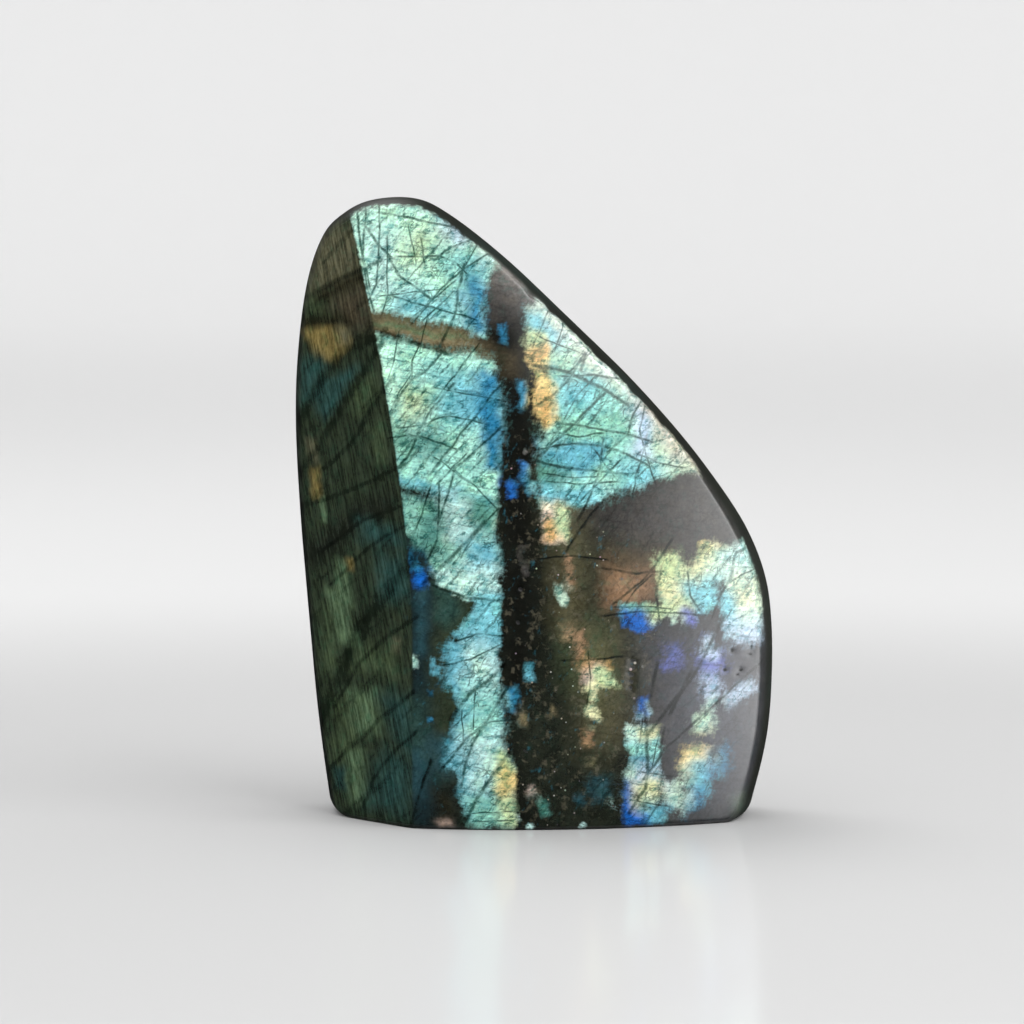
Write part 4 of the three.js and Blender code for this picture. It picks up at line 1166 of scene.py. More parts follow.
    def paint(self, mesh: bpy.types.Mesh, points: np.ndarray, zones: np.ndarray, shape: StoneShape) -> None:
        """Write the markings into the mesh as attributes.

        Args:
            mesh: The mesh, with one vertex for each point.
            points: The x, y and z of the points, in mm.
            zones: The zone number of each point.
            shape: The form of the stone.
        """
        at = points[:, [0, 2]]
        in_front, in_wall, on_back = (zones == zone.value for zone in Zone)
        behind = points[:, 1] - shape.front_y(at[:, 0], at[:, 1])
        on_front = 1.0 - smooth_step(self.edge_start, self.edge_end, behind)
        past_crest = shape.crest.x_at(at[:, 1]) - at[:, 0]
        facet = smooth_step(-self.crest_softness, self.crest_softness, past_crest) * on_front
        flash, cover = self.flashes(at, shape, (1.0 - facet) * on_front, on_back)
        write_colour(mesh, "ground", self.ground(points, facet, on_front, on_back))
        write_colour(mesh, "flash", flash)
        values = {
            "flash_cover": cover,
            "facet": facet,
            "edge": in_wall * smooth_step(self.dull_start, self.dull_full, behind),
            "wall": np.where(on_back, 0.0, 1.0 - on_front),
            "sawn": smooth_step(self.sawn_top, self.sawn_full, points[:, 2]),
            # The pits' share, which darkens them as painted shade.
            "pit": in_front * max_of(pit.share(points[:, 0], points[:, 2]) for pit in PITS),
        }
        # The deep pit's mask places its painted glints.
        for name, patches in (("vein", VEINS[:1]), ("glimmer", VEINS), ("deep_pit", (DEEP_PIT,))):
            reached = max_of(smooth_step(-patch.soft, patch.soft, patch.inside(at)) for patch in patches)
            values[name] = in_front * reached
        for name, value in values.items():
            write_value(mesh, name, value)
        sides, shares = self.cracks(at)
        for k in range(0, self.sheets, AXES):
            write_vector(mesh, f"crack_side_{k // AXES}", sides[k: k + AXES].T)
            write_vector(mesh, f"crack_share_{k // AXES}", (shares * on_front)[k: k + AXES].T)


def max_of(fields: Iterable[np.ndarray]) -> np.ndarray:
    """Return the largest value of several fields at each point."""
    return functools.reduce(np.maximum, fields)


def clearance(one: Crack, other: Crack, steps: int = 12) -> float:
    """Return about how near two cracks come to each other, in mm."""
    share = np.linspace(0.0, 1.0, steps)[:, None]
    runs = []
    for crack in (one, other):
        run = np.array(crack.run, dtype=float)
        runs.append(np.concatenate([a + (b - a) * share for a, b in zip(run[:-1], run[1:])]))
    return float(np.min(np.linalg.norm(runs[0][:, None] - runs[1][None], axis=2)))


def write_colour(mesh: bpy.types.Mesh, name: str, colours: np.ndarray) -> None:
    """Keep one colour for each vertex as an attribute."""
    full = np.concatenate((colours, np.ones((len(colours), 1))), axis=1)
    mesh.attributes.new(name, "FLOAT_COLOR", "POINT").data.foreach_set("color", full.ravel())


def write_value(mesh: bpy.types.Mesh, name: str, values: np.ndarray) -> None:
    """Keep one value for each vertex as an attribute."""
    mesh.attributes.new(name, "FLOAT", "POINT").data.foreach_set("value", values.astype(float))


def write_vector(mesh: bpy.types.Mesh, name: str, vectors: np.ndarray) -> None:
    """Keep three values for each vertex as an attribute."""
    mesh.attributes.new(name, "FLOAT_VECTOR", "POINT").data.foreach_set("vector", vectors.ravel())


def build_mesh(shape: StoneShape, markings: Markings) -> bpy.types.Object:
    """Return the stone as a closed, painted mesh in metres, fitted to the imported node's box."""
    rings, ring_zones = shape.surface()
    stations, count = rings.shape[:2]
    middle_x = float(shape.crest.x_at(shape.centre_z))
    depths = sum(pit.depth * pit.share(rings[..., 0], rings[..., 2]) for pit in PITS)
    rings[..., 1] += depths * (ring_zones == Zone.FRONT.value)
    poles = [
        (middle_x, float(face(middle_x, shape.centre_z)), shape.centre_z)
        for face in (shape.front_y, shape.back_y)
    ]
    points = np.concatenate((rings.reshape(-1, 3), np.array(poles)))
    zones = np.concatenate((np.tile(ring_zones, stations), (Zone.FRONT.value, Zone.BACK.value)))
    station = np.arange(stations)
    following = (station + 1) % stations
    here, ahead = station * count, following * count
    faces = []
    for k in range(count - 1):
        faces.extend(np.stack((here + k, here + k + 1, ahead + k + 1, ahead + k), axis=1).tolist())
    front_pole, back_pole = len(points) - 2, len(points) - 1
    faces.extend([front_pole, a, b] for a, b in zip(here.tolist(), ahead.tolist()))
    last_here, last_ahead = here + count - 1, ahead + count - 1
    faces.extend([a, back_pole, b] for a, b in zip(last_here.tolist(), last_ahead.tolist()))
    low, high = (np.array(corner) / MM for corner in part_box(NODE))
    shift = (low + high) / 2.0 - (points.min(axis=0) + points.max(axis=0)) / 2.0
    shift[2] = low[2]
    mesh = bpy.data.meshes.new("labradorite_stone")
    mesh.from_pydata(((points + shift) * MM).tolist(), [], faces)
    markings.paint(mesh, points, zones, shape)
    mesh.shade_smooth()
    stone = bpy.data.objects.new("labradorite_stone", mesh)
    bpy.context.scene.collection.objects.link(stone)
    return stone


class Wire:
    """A socket of a node tree that takes part in sums, so that shader maths reads as an expression."""

    def __init__(self, bench: "Bench", socket: bpy.types.NodeSocket) -> None:
        """Keep the socket and the bench that its maths nodes are made on."""
        self.bench = bench
        self.socket = socket

    def math(self, operation: str, first: Feed, second: Feed = 0.0) -> "Wire":
        """Return the result of one Math node."""
        settings = {"operation": operation}
        return self.bench.node("ShaderNodeMath", settings, {"Value": first, "Value_001": second})

    def __add__(self, other: Feed) -> "Wire":
        """Return the sum."""
        return self.math("ADD", self, other)

    def __radd__(self, other: Feed) -> "Wire":
        """Return the sum with a number on the left."""
        return self.math("ADD", other, self)

    def __sub__(self, other: Feed) -> "Wire":
        """Return the difference."""
        return self.math("SUBTRACT", self, other)

    def __rsub__(self, other: Feed) -> "Wire":
        """Return the difference from a number on the left."""
        return self.math("SUBTRACT", other, self)

    def __mul__(self, other: Feed) -> "Wire":
        """Return the product."""
        return self.math("MULTIPLY", self, other)

    def __rmul__(self, other: Feed) -> "Wire":
        """Return the product with a number on the left."""
        return self.math("MULTIPLY", other, self)

    def larger(self, other: Feed) -> "Wire":
        """Return the larger of the two."""
        return self.math("MAXIMUM", self, other)

    def centred(self) -> "Wire":
        """Return a value from 0 to 1 as one that lies evenly about zero."""
        return self - 0.5

    def ramp(self, start: float, stop: float) -> "Wire":
        """Return a value that runs smoothly from 0 at start to 1 at stop."""
        sockets = {"Value": self, "From Min": start, "From Max": stop}
        if start > stop:
            sockets.update({"From Min": stop, "From Max": start, "To Min": 1.0, "To Max": 0.0})
        return self.bench.node("ShaderNodeMapRange", {"interpolation_type": "SMOOTHSTEP"}, sockets)


def largest(wires: Iterable[Wire]) -> Wire:
    """Return the largest of several values."""
    return functools.reduce(Wire.larger, wires)


def weighed(weights: tuple[float, ...], wires: Iterable[Wire]) -> Wire:
    """Return the first weight plus each value times its own weight."""
    return sum((wire * weight for wire, weight in zip(wires, weights[1:])), weights[0])


@dataclass
class Bench:
    """Makes the nodes of one tree."""

    tree: bpy.types.NodeTree

    def node(self, kind: str, settings: dict[str, Setting] | None = None,
             sockets: dict[str, Feed] | None = None, output: str | int = 0) -> Wire:
        """Add a node to the tree.

        Args:
            kind: The node's type.
            settings: Its own settings, which are set first.
            sockets: What its inputs hold, as values or as wires, under their identifiers or names.
            output: Which of its outputs is wanted.

        Returns:
            The wanted output.
        """
        node = self.tree.nodes.new(kind)
        for name, value in (settings or {}).items():
            setattr(node, name, value)
        for name, value in (sockets or {}).items():
            exact = [socket for socket in node.inputs if socket.identifier == name]
            socket = exact[0] if exact else node.inputs[name]
            if isinstance(value, Wire):
                self.tree.links.new(value.socket, socket)
            else:
                socket.default_value = value
        return Wire(self, node.outputs[output])

    def attribute(self, name: str, output: str = "Fac") -> Wire:
        """Read one of the mesh's own attributes."""
        return self.node("ShaderNodeAttribute", {"attribute_name": name}, output=output)

    def blend(self, share: Feed, first: Feed, second: Feed) -> Wire:
        """Mix two colours."""
        sockets = {"Factor_Float": share, "A_Color": first, "B_Color": second}
        return self.node("ShaderNodeMix", {"data_type": "RGBA"}, sockets, 2)

    def tinted(self, colour: Wire, tint: Feed) -> Wire:
        """Multiply a colour by another."""
        sockets = {"Vector": colour, "Vector_001": tint}
        return self.node("ShaderNodeVectorMath", {"operation": "MULTIPLY"}, sockets)

    def lit(self, colour: Wire, amount: Feed) -> Wire:
        """Make a colour lighter or darker."""
        return self.node("ShaderNodeVectorMath", {"operation": "SCALE"}, {"Vector": colour, "Scale": amount})

    def laid(self, place: Wire, lean: float, size: tuple[float, float, float]) -> Wire:
        """Turn and stretch the place of a pattern.

        Args:
            place: The place on the stone, in mm.
            lean: How far the pattern leans to the right, in degrees from upright.
            size: The pattern's own size across, in depth and along, in mm.

        Returns:
            The place in the pattern.
        """
        sockets = {"Vector": place, "Rotation": (0.0, math.radians(lean), 0.0), "Scale": size}
        return self.node("ShaderNodeMapping", {"vector_type": "TEXTURE"}, sockets)

    def noise(self, place: Wire, scale: float = 1.0, detail: float = 2.0, rough: float = 0.5) -> Wire:
        """Return a cloudy noise from 0 to 1."""
        sockets = {"Vector": place, "Scale": scale, "Detail": detail, "Roughness": rough}
        return self.node("ShaderNodeTexNoise", {}, sockets)


@dataclass(frozen=True)
class Grain:
    """A cloudy pattern from 0 to 1: its lean in degrees from upright, and its size in mm each way."""

    lean: float
    size: tuple[float, float, float]
    detail: float = 3.0
    rough: float = 0.7

    def over(self, bench: Bench, place: Wire, scale: float = 1.0) -> Wire:
        """Return the pattern, as many times finer as the scale says."""
        return bench.noise(bench.laid(place, self.lean, self.size), scale, self.detail, self.rough)


@dataclass(frozen=True)
class Cloud:
    """An even cloudy pattern from 0 to 1: how many lumps it has in a mm, and how rough and fine it is."""

    scale: float
    rough: float = 0.7
    detail: float = 3.0

    def over(self, bench: Bench, place: Wire) -> Wire:
        """Return the pattern."""
        return bench.noise(place, self.scale, self.detail, self.rough)


@dataclass(frozen=True)
class Veil:
    """Where a shade comes in: its clouds, the part of their range that it uses, and its full share."""

    clouds: Cloud
    span: Span
    share: float = 1.0

    def over(self, bench: Bench, place: Wire) -> Wire:
        """Return the share of the shade at each place."""
        return self.clouds.over(bench, place).ramp(*self.span) * self.share


@dataclass(frozen=True)
class Cleavage:
    """A family of fine parallel cracks that come and go: lean in degrees from upright, sizes in mm."""

    lean: float
    spacing: float
    width: float
    shift: float
    bow: float = 5.0
    least: float = 0.48
    stray: float = 1.1
    gaps: tuple[float, float, float] = (2.0, 9.0, 9.0)
    gap_softness: float = 0.14
    sharpness: float = 0.1
    bend: Cloud = Cloud(0.045, 0.5, 1.0)
    ragged: Cloud = Cloud(1.3)

    def lines(self, bench: Bench, place: Wire) -> Wire:
        """Return 1 on the cracks and 0 between them."""
        bent = self.bend.over(bench, place) * self.bow
        laid = bench.laid(place, self.lean, (self.spacing, self.spacing, self.spacing))
        across = bench.node("ShaderNodeSeparateXYZ", {}, {"Vector": laid}, 0) + bent * (1.0 / self.spacing)
        settings = {"voronoi_dimensions": "1D", "feature": "DISTANCE_TO_EDGE"}
        ragged = self.ragged.over(bench, place).centred() * (self.stray / self.spacing)
        position = across + ragged + self.shift
        away = bench.node("ShaderNodeTexVoronoi", settings, {"W": position, "Scale": 1.0}, "Distance")
        width = self.width / self.spacing
        broken = Grain(self.lean, self.gaps, rough=0.6).over(bench, place)
        shown = broken.ramp(self.least, self.least + self.gap_softness)
        return away.ramp(width, width * self.sharpness) * shown


@dataclass(frozen=True)
class LabradoriteFinish:
    """Polished labradorite: dark ground, flashes under the surface, healed cracks, a sawn foot, painted
    shade in the pits and painted glints in the deep pit.
    """

    gloss: float = 0.07
    sawn_roughness: float = 0.45
    dull_roughness: float = 0.4
    crack_roughness: float = 0.1
    ior: float = 1.56
    saw_depth: float = 0.1
    saw_strength: float = 0.3
    crack_depth: float = 0.92
    crack_core: float = 0.3
    crack_rim: float = 1.7
    crack_fray: float = 1.4
    on_ground: float = 0.45
    off_facet: float = 0.3
    fainter: float = 0.8
    small_depth: float = 0.85
    band_depth: float = 0.6
    web_stretch: float = 1.9
    web_softness: float = 0.2
    web_spread: float = 0.35
    web_gaps: Span = (0.46, 0.6)
    level_share: float = 0.55
    brush_share: float = 0.55
    shade_depth: float = 0.85
    shade_span: Span = (0.52, 0.38)
    pale_gain: float = 0.35
    pale_span: Span = (0.5, 0.64)
    blotch_depth: float = 0.9
    blotch_span: Span = (0.47, 0.33)
    streak_span: Span = (0.36, 0.7)
    glint_share: float = 0.6
    glint_span: Span = (0.6, 0.8)
    facet_coolness: float = 0.8
    flash_light: tuple[float, ...] = (0.46, 0.58, 0.6, 0.42)
    face_light: tuple[float, ...] = (-0.28, 1.5, 1.35)
    facet_light: tuple[float, ...] = (-0.3, 1.15, 1.1, 0.65)
    least_light: float = 0.15
    frayed_reach: float = 0.9
    streaked_reach: float = 0.7
    cover_span: Span = (0.18, 1.12)
    cover_limit: Span = (0.02, 0.3)
    pit_span: Span = (0.25, 0.7)
    mottle_roughness: float = 0.03
    # The dust fields set the pale grains in the veins; the scale, paleness, depth and colour also set the
    # painted glints in the deep pit.
    dust_and_glint_scale: float = 0.85
    dust_span: Span = (0.15, 0.06)
    pit_glint_span: Span = (0.3, 0.14)
    dust_and_glint_paleness: float = 0.7
    dust_and_glint_depth: float = 0.75
    mottle: Cloud = Cloud(0.3, 0.62)
    flash_grain: Cloud = Cloud(2.3)
    flash_cloud: Cloud = Cloud(0.6, 0.68)
    ground_fleck: Cloud = Cloud(1.7)
    ground_cloud: Cloud = Cloud(0.35, 0.68)
    cover_cloud: Cloud = Cloud(1.1, 0.68)
    crack_cloud: Cloud = Cloud(2.4, 0.5)
    greens: Veil = Veil(Cloud(0.26, 0.5), (0.5, 0.64), 0.6)
    browns: Veil = Veil(Cloud(0.5), (0.5, 0.62), 0.6)
    cools: Veil = Veil(Cloud(0.5), (0.46, 0.36), 0.7)
    lumps: Veil = Veil(Cloud(0.75), (0.54, 0.68), 0.5)
    dust: Veil = Veil(Cloud(0.4, 0.5), (0.52, 0.62))
    healing: Veil = Veil(Cloud(0.4), (0.36, 0.58), 0.45)
    facet_cleavage: Cleavage = Cleavage(42.0, 4.0, 0.7, 0.3, 4.0, 0.44, 2.6)
    diagonals: Cleavage = Cleavage(40.0, 1.9, 0.26, 2.7, 5.0, 0.44)
    levels: Cleavage = Cleavage(98.0, 1.3, 0.2, 7.1, 4.0, 0.46)
    steeps: Cleavage = Cleavage(8.0, 2.1, 0.2, 4.4, 6.0, 0.5)
    crossings: Cleavage = Cleavage(68.0, 2.4, 0.2, 9.9, 7.0, 0.48)
    web_sizes: tuple[tuple[float, float, float], ...] = ((30.0, 2.6, 0.022), (80.0, 1.5, 0.03))
    level_brush: Grain = Grain(97.0, (0.42, 4.0, 3.2), rough=0.62)
    slant_brush: Grain = Grain(38.0, (0.5, 4.0, 3.4), rough=0.6)
    blotches: Grain = Grain(60.0, (0.9, 1.0, 1.5))
    lamellae: Grain = Grain(-11.0, (0.34, 3.0, 5.0), 4.0, 0.65)
    glints: Grain = Grain(20.0, (1.0, 1.2, 1.7), rough=0.6)
    frayed_edges: Grain = Grain(20.0, (0.5, 1.0, 1.6))
    streaked_edges: Grain = Grain(97.0, (0.45, 2.0, 2.4))
    saw_marks: Grain = Grain(0.0, (0.4, 30.0, 1.0), rough=0.5)
    shade_tint: Tint = (0.36, 0.62, 0.66)
    green_tint: Tint = (0.97, 1.0, 0.84)
    blotch_tint: Tint = (0.2, 0.36, 0.36)
    warm_tint: Tint = (1.08, 1.04, 0.94)
    cool_tint: Tint = (0.8, 1.04, 1.0)
    facet_tint: Tint = (0.98, 1.06, 1.16)
    crack_tint: Tint = (0.06, 0.12, 0.1)
    lump_colour: Tint = (0.11, 0.1, 0.07)
    glint_colour: Tint = (0.03, 0.15, 0.2)
    dust_and_glint_colour: Tint = (0.75, 0.66, 0.62)

    def webs(self, bench: Bench, place: Wire) -> Wire:
        """Return 1 on the fine curved cracks that join the straight ones."""
        shown = []
        for lean, size, width in self.web_sizes:
            cloud = Grain(lean, (size, size, size * self.web_stretch), 2.0, 0.55).over(bench, place)
            away = cloud.math("ABSOLUTE", cloud.centred())
            here = Grain(lean, (1.0, 1.0, 1.0), rough=0.6).over(bench, place, self.web_spread)
            shown.append(away.ramp(width, width * self.web_softness) * here.ramp(*self.web_gaps))
        return largest(shown)

    def drawn_cracks(self, bench: Bench, fray: Wire) -> Wire:
        """Return 1 on the large cracks, which the mesh keeps as distances."""
        shown = []
        settings = {"data_type": "FLOAT_VECTOR", "interpolation_type": "SMOOTHSTEP"}
        limits = {"From_Min": self.crack_core, "From_Max": self.crack_rim, "To_Min": 1.0, "To_Max": 0.0}
        for k in range(Markings.sheets // AXES):
            side = bench.attribute(f"crack_side_{k}", "Vector")
            share = bench.attribute(f"crack_share_{k}", "Vector")
            away = bench.node("ShaderNodeVectorMath", {"operation": "ABSOLUTE"}, {"Vector": side})
            sockets = {"Vector": away, "Vector_001": fray}
            frayed = bench.node("ShaderNodeVectorMath", {"operation": "ADD"}, sockets)
            sockets = {f"{name}_FLOAT3": (value,) * AXES for name, value in limits.items()}
            line = bench.node("ShaderNodeMapRange", settings, {"Vector": frayed, **sockets}, "Vector")
            sockets = {"Vector": bench.tinted(line, share)}
            shown += [bench.node("ShaderNodeSeparateXYZ", {}, sockets, axis) for axis in range(AXES)]
        return largest(shown)

    def flash_colour(self, bench: Bench, place: Wire, mottle: Wire) -> Wire:
        """Return the colour of the flashes, brushed level and across as their layers lie."""
        flash = bench.attribute("flash", "Color")
        level, slant = (brush.over(bench, place) for brush in (self.level_brush, self.slant_brush))
        brushed = level * self.level_share + slant * (1.0 - self.level_share)
        cloud = self.flash_cloud.over(bench, place)
        shade = brushed * self.brush_share + cloud * (1.0 - self.brush_share)
        dark = shade.ramp(*self.shade_span) * self.shade_depth
        shaded = bench.blend(dark, flash, bench.tinted(flash, self.shade_tint))
        green = self.greens.over(bench, place)
        turned = bench.blend(green, shaded, bench.tinted(shaded, self.green_tint))
        pale = bench.lit(turned, 1.0 + shade.ramp(*self.pale_span) * self.pale_gain)
        blotch = self.blotches.over(bench, place).ramp(*self.blotch_span) * self.blotch_depth
        blotched = bench.blend(blotch, pale, bench.tinted(pale, self.blotch_tint))
        grain = self.flash_grain.over(bench, place)
        return bench.lit(blotched, weighed(self.flash_light, (brushed, grain, mottle)))

    def ground_colour(self, bench: Bench, place: Wire, facet: Wire) -> Wire:
        """Return the colour of the dark ground, with upright lamellae on the facet."""
        ground = bench.attribute("ground", "Color")
        streak = self.lamellae.over(bench, place).ramp(*self.streak_span)
        fleck = self.ground_fleck.over(bench, place)
        cloud = self.ground_cloud.over(bench, place)
        on_face = weighed(self.face_light, (fleck, cloud))
        on_facet = weighed(self.facet_light, (streak, fleck, cloud))
        brown, cool = (veil.over(bench, place) for veil in (self.browns, self.cools))
        browned = bench.blend(brown, ground, bench.tinted(ground, self.warm_tint))
        cooled = bench.blend(cool, browned, bench.tinted(ground, self.cool_tint))
        lumps = self.lumps.over(bench, place) * bench.attribute("vein")
        lumpy = bench.blend(lumps, cooled, (*self.lump_colour, 1.0))
        glints = self.glints.over(bench, place).ramp(*self.glint_span) * bench.attribute("glimmer")
        glinting = bench.blend(glints * self.glint_share, lumpy, (*self.glint_colour, 1.0))
        bluish = bench.tinted(glinting, self.facet_tint)
        faceted = bench.blend(facet * self.facet_coolness, glinting, bluish)
        light = on_face + (on_facet - on_face) * facet
        return bench.lit(faceted, light.larger(self.least_light))

    def dust_and_glints(self, bench: Bench, place: Wire, colour: Wire, where: Wire) -> Wire:
        """Scatter small pale grains over the dark veins, and painted glints in the deep pit.

        Args:
            bench: The bench of the material.
            place: The place on the stone, in mm.
            colour: The colour without the grains and glints.
            where: How dark the stone is there, from 0 to 1.

        Returns:
            The colour with the grains and the painted glints.
        """
        dots, tints = (
            bench.node("ShaderNodeTexVoronoi", {}, {"Vector": place, "Scale": self.dust_and_glint_scale}, output)
            for output in ("Distance", "Color")
        )
        in_veins = dots.ramp(*self.dust_span) * self.dust.over(bench, place) * bench.attribute("vein")
        # Painted glints: pale specks standing in for light glinting in the deep pit.
        pit_glints = dots.ramp(*self.pit_glint_span) * bench.attribute("deep_pit")
        pale = bench.blend(self.dust_and_glint_paleness, tints, (*self.dust_and_glint_colour, 1.0))
        return bench.blend(in_veins.larger(pit_glints) * where * self.dust_and_glint_depth, colour, pale)

    def flash_share(self, bench: Bench, place: Wire) -> Wire:
        """Return how fully the flashes show, from 0 to 1, with frayed edges."""
        kept = bench.attribute("flash_cover")
        fine = self.cover_cloud.over(bench, place).centred()
        frayed = self.frayed_edges.over(bench, place).centred() * self.frayed_reach
        streaked = self.streaked_edges.over(bench, place).centred() * self.streaked_reach
        return (kept + fine + frayed + streaked).ramp(*self.cover_span) * kept.ramp(*self.cover_limit)

    def crack_share(self, bench: Bench, place: Wire, facet: Wire, flash: Wire) -> Wire:
        """Return how dark the cracks make the stone.

        Args:
            bench: The bench of the material.
            place: The place on the stone, in mm.
            facet: How far the place belongs to the left facet, from 0 to 1.
            flash: How fully the flashes show there, from 0 to 1.

        Returns:
            A share from 0 to 1.
        """
        fray = self.crack_cloud.over(bench, place).centred() * self.crack_fray
        large = self.drawn_cracks(bench, fray) * (1.0 - facet * self.off_facet)
        families = (self.levels, self.steeps, self.crossings)
        faint = [family.lines(bench, place) * self.fainter for family in families]
        small = largest([self.diagonals.lines(bench, place), *faint, self.webs(bench, place)])
        small = small * (1.0 - facet) * (self.on_ground + flash * (1.0 - self.on_ground))
        bands = self.facet_cleavage.lines(bench, place) * facet
        healed = (1.0 - self.healing.share) + self.healing.over(bench, place)
        return largest([large, small * self.small_depth, bands * self.band_depth]) * healed

    def dress(self) -> bpy.types.Material:
        """Build the material."""
        material = bpy.data.materials.new("labradorite")
        material.use_nodes = True
        bench = Bench(material.node_tree)
        shader = material.node_tree.nodes["Principled BSDF"]
        place = bench.lit(bench.node("ShaderNodeTexCoord", output="Object"), 1.0 / MM)
        facet, wall, sawn, edge = (bench.attribute(name) for name in ("facet", "wall", "sawn", "edge"))
        pit = bench.attribute("pit").ramp(*self.pit_span)
        mottle = self.mottle.over(bench, place)
        shown = self.flash_share(bench, place)
        ground = self.ground_colour(bench, place, facet)
        colour = bench.blend(shown, ground, self.flash_colour(bench, place, mottle))
        # The pits are darkened with the crack colour: painted shade in their hollows.
        cracks = (self.crack_share(bench, place, facet, shown) * (1.0 - wall)).larger(pit)
        colour = bench.blend(cracks * self.crack_depth, colour, bench.tinted(colour, self.crack_tint))
        colour = self.dust_and_glints(bench, place, colour, (1.0 - shown) * (1.0 - facet) * (1.0 - wall))
        roughness = self.gloss + mottle * self.mottle_roughness + cracks * self.crack_roughness
        roughness = roughness + sawn * self.sawn_roughness
        height = self.saw_marks.over(bench, place) * sawn
        sockets = {"Strength": self.saw_strength, "Distance": self.saw_depth * MM, "Height": height}
        feeds = {
            "Base Color": colour,
            "Roughness": roughness + edge.larger(pit) * self.dull_roughness,
            "Normal": bench.node("ShaderNodeBump", {}, sockets),
        }
        for name, wire in feeds.items():
            bench.tree.links.new(wire.socket, shader.inputs[name])
        shader.inputs["IOR"].default_value = self.ior
        return material


@dataclass(frozen=True)
class HandPolish:
    """The slight unevenness that lapping by hand leaves: sizes in mm, made by Geometry Nodes."""

    ripple_size: float = 8.0
    ripple_depth: float = 0.06
    seed: float = 3.0

    def tree(self) -> bpy.types.NodeTree:
        """Build the node tree, with named inputs for its sizes."""
        tree = bpy.data.node_groups.new("hand_polish", "GeometryNodeTree")
        tree.interface.new_socket("Stone", in_out="INPUT", socket_type="NodeSocketGeometry")
        names = ("Ripple Size", "Ripple Depth", "Seed")
        for name in names:
            tree.interface.new_socket(name, in_out="INPUT", socket_type="NodeSocketFloat")
        tree.interface.new_socket("Finish", in_out="INPUT", socket_type="NodeSocketMaterial")
        tree.interface.new_socket("Stone", in_out="OUTPUT", socket_type="NodeSocketGeometry")
        bench = Bench(tree)
        given = tree.nodes.new("NodeGroupInput")
        size, depth, seed = (Wire(bench, given.outputs[name]) for name in names)
        scale = size.math("DIVIDE", 1.0, size)
        sockets = {"W": seed, "Scale": scale, "Detail": 1.0}
        ripple = bench.node("ShaderNodeTexNoise", {"noise_dimensions": "4D"}, sockets)
        sawn = bench.node("GeometryNodeInputNamedAttribute", {"data_type": "FLOAT"}, {"Name": "sawn"})
        amount = ripple.centred() * depth * (1.0 - sawn)
        offset = bench.lit(bench.node("GeometryNodeInputNormal"), amount)
        sockets = {"Geometry": Wire(bench, given.outputs["Stone"]), "Offset": offset}
        moved = bench.node("GeometryNodeSetPosition", {}, sockets)
        whole = bench.node("GeometryNodeRealizeInstances", {}, {"Geometry": moved})
        finish = Wire(bench, given.outputs["Finish"])
        dressed = bench.node("GeometryNodeSetMaterial", {}, {"Geometry": whole, "Material": finish})
        result = tree.nodes.new("NodeGroupOutput")
        tree.links.new(dressed.socket, result.inputs[0])
        return tree

    def apply(self, stone: bpy.types.Object, finish: bpy.types.Material) -> None:
        """Polish and dress the stone, and keep the result as a plain mesh."""
        modifier = stone.modifiers.new("hand_polish", "NODES")
        modifier.node_group = self.tree()
        values = {
            "Ripple Size": self.ripple_size * MM, "Ripple Depth": self.ripple_depth * MM,
            "Seed": self.seed, "Finish": finish,
        }
        for item in modifier.node_group.interface.items_tree:
            if item.in_out == "INPUT" and item.name in values:
                modifier[item.identifier] = values[item.name]
        graph = bpy.context.evaluated_depsgraph_get()
        plain = bpy.data.meshes.new_from_object(
            stone.evaluated_get(graph), preserve_all_data_layers=True, depsgraph=graph
        )
        stone.modifiers.clear()
        stone.data = plain


@dataclass(frozen=True)
class Softbox:
    """A soft light: its place in degrees round from the camera and up, its size in mm and its strength."""

    name: str
    round_: float
    up: float
    width: float
    height: float
    radiance: float
    reach: float = 1000.0
    fades: bool = False
    lights: bool = True
    mirrored: bool = True
    fade_edge: float = 0.25
    fade_side: float = 0.07
    fade_full: float = 0.9
    brightest: float = 1.6
    dimmest: float = 0.02

    def hang(self, aim: Vector) -> None:
        """Put the light in its place, facing the stone."""
        data = bpy.data.lights.new(self.name, "AREA")
        data.shape = "RECTANGLE"
        data.size = self.width * MM
        data.size_y = self.height * MM
        data.energy = self.radiance * math.pi * data.size * data.size_y
        lamp = bpy.data.objects.new(self.name, data)
        turn, rise = math.radians(self.round_), math.radians(self.up)
        way = Vector((math.sin(turn) * math.cos(rise), -math.cos(turn) * math.cos(rise), math.sin(rise)))
        lamp.location = aim + way * self.reach * MM
        lamp.rotation_euler = way.to_track_quat("Z", "Y").to_euler()
        lamp.visible_camera = False
        lamp.visible_diffuse = self.lights
        lamp.visible_glossy = self.mirrored
        bpy.context.scene.collection.objects.link(lamp)
        if self.fades:
            self.fade(data)

    def fade(self, data: bpy.types.Light) -> None:
        """Let the light fall off from one side to the other and at its edges, as a curtained window does."""
        data.use_nodes = True
        bench = Bench(data.node_tree)
        spot = bench.node("ShaderNodeNewGeometry", output="Parametric")
        across, upward = (bench.node("ShaderNodeSeparateXYZ", {}, {"Vector": spot}, axis) for axis in (0, 1))
        edges = upward.ramp(0.0, self.fade_edge) * upward.ramp(1.0, 1.0 - self.fade_edge)
        edges = edges * across.ramp(1.0, 1.0 - self.fade_side)
        strength = edges * (across.ramp(0.0, self.fade_full) * self.brightest + self.dimmest)
        data.node_tree.links.new(strength.socket, data.node_tree.nodes["Emission"].inputs["Strength"])


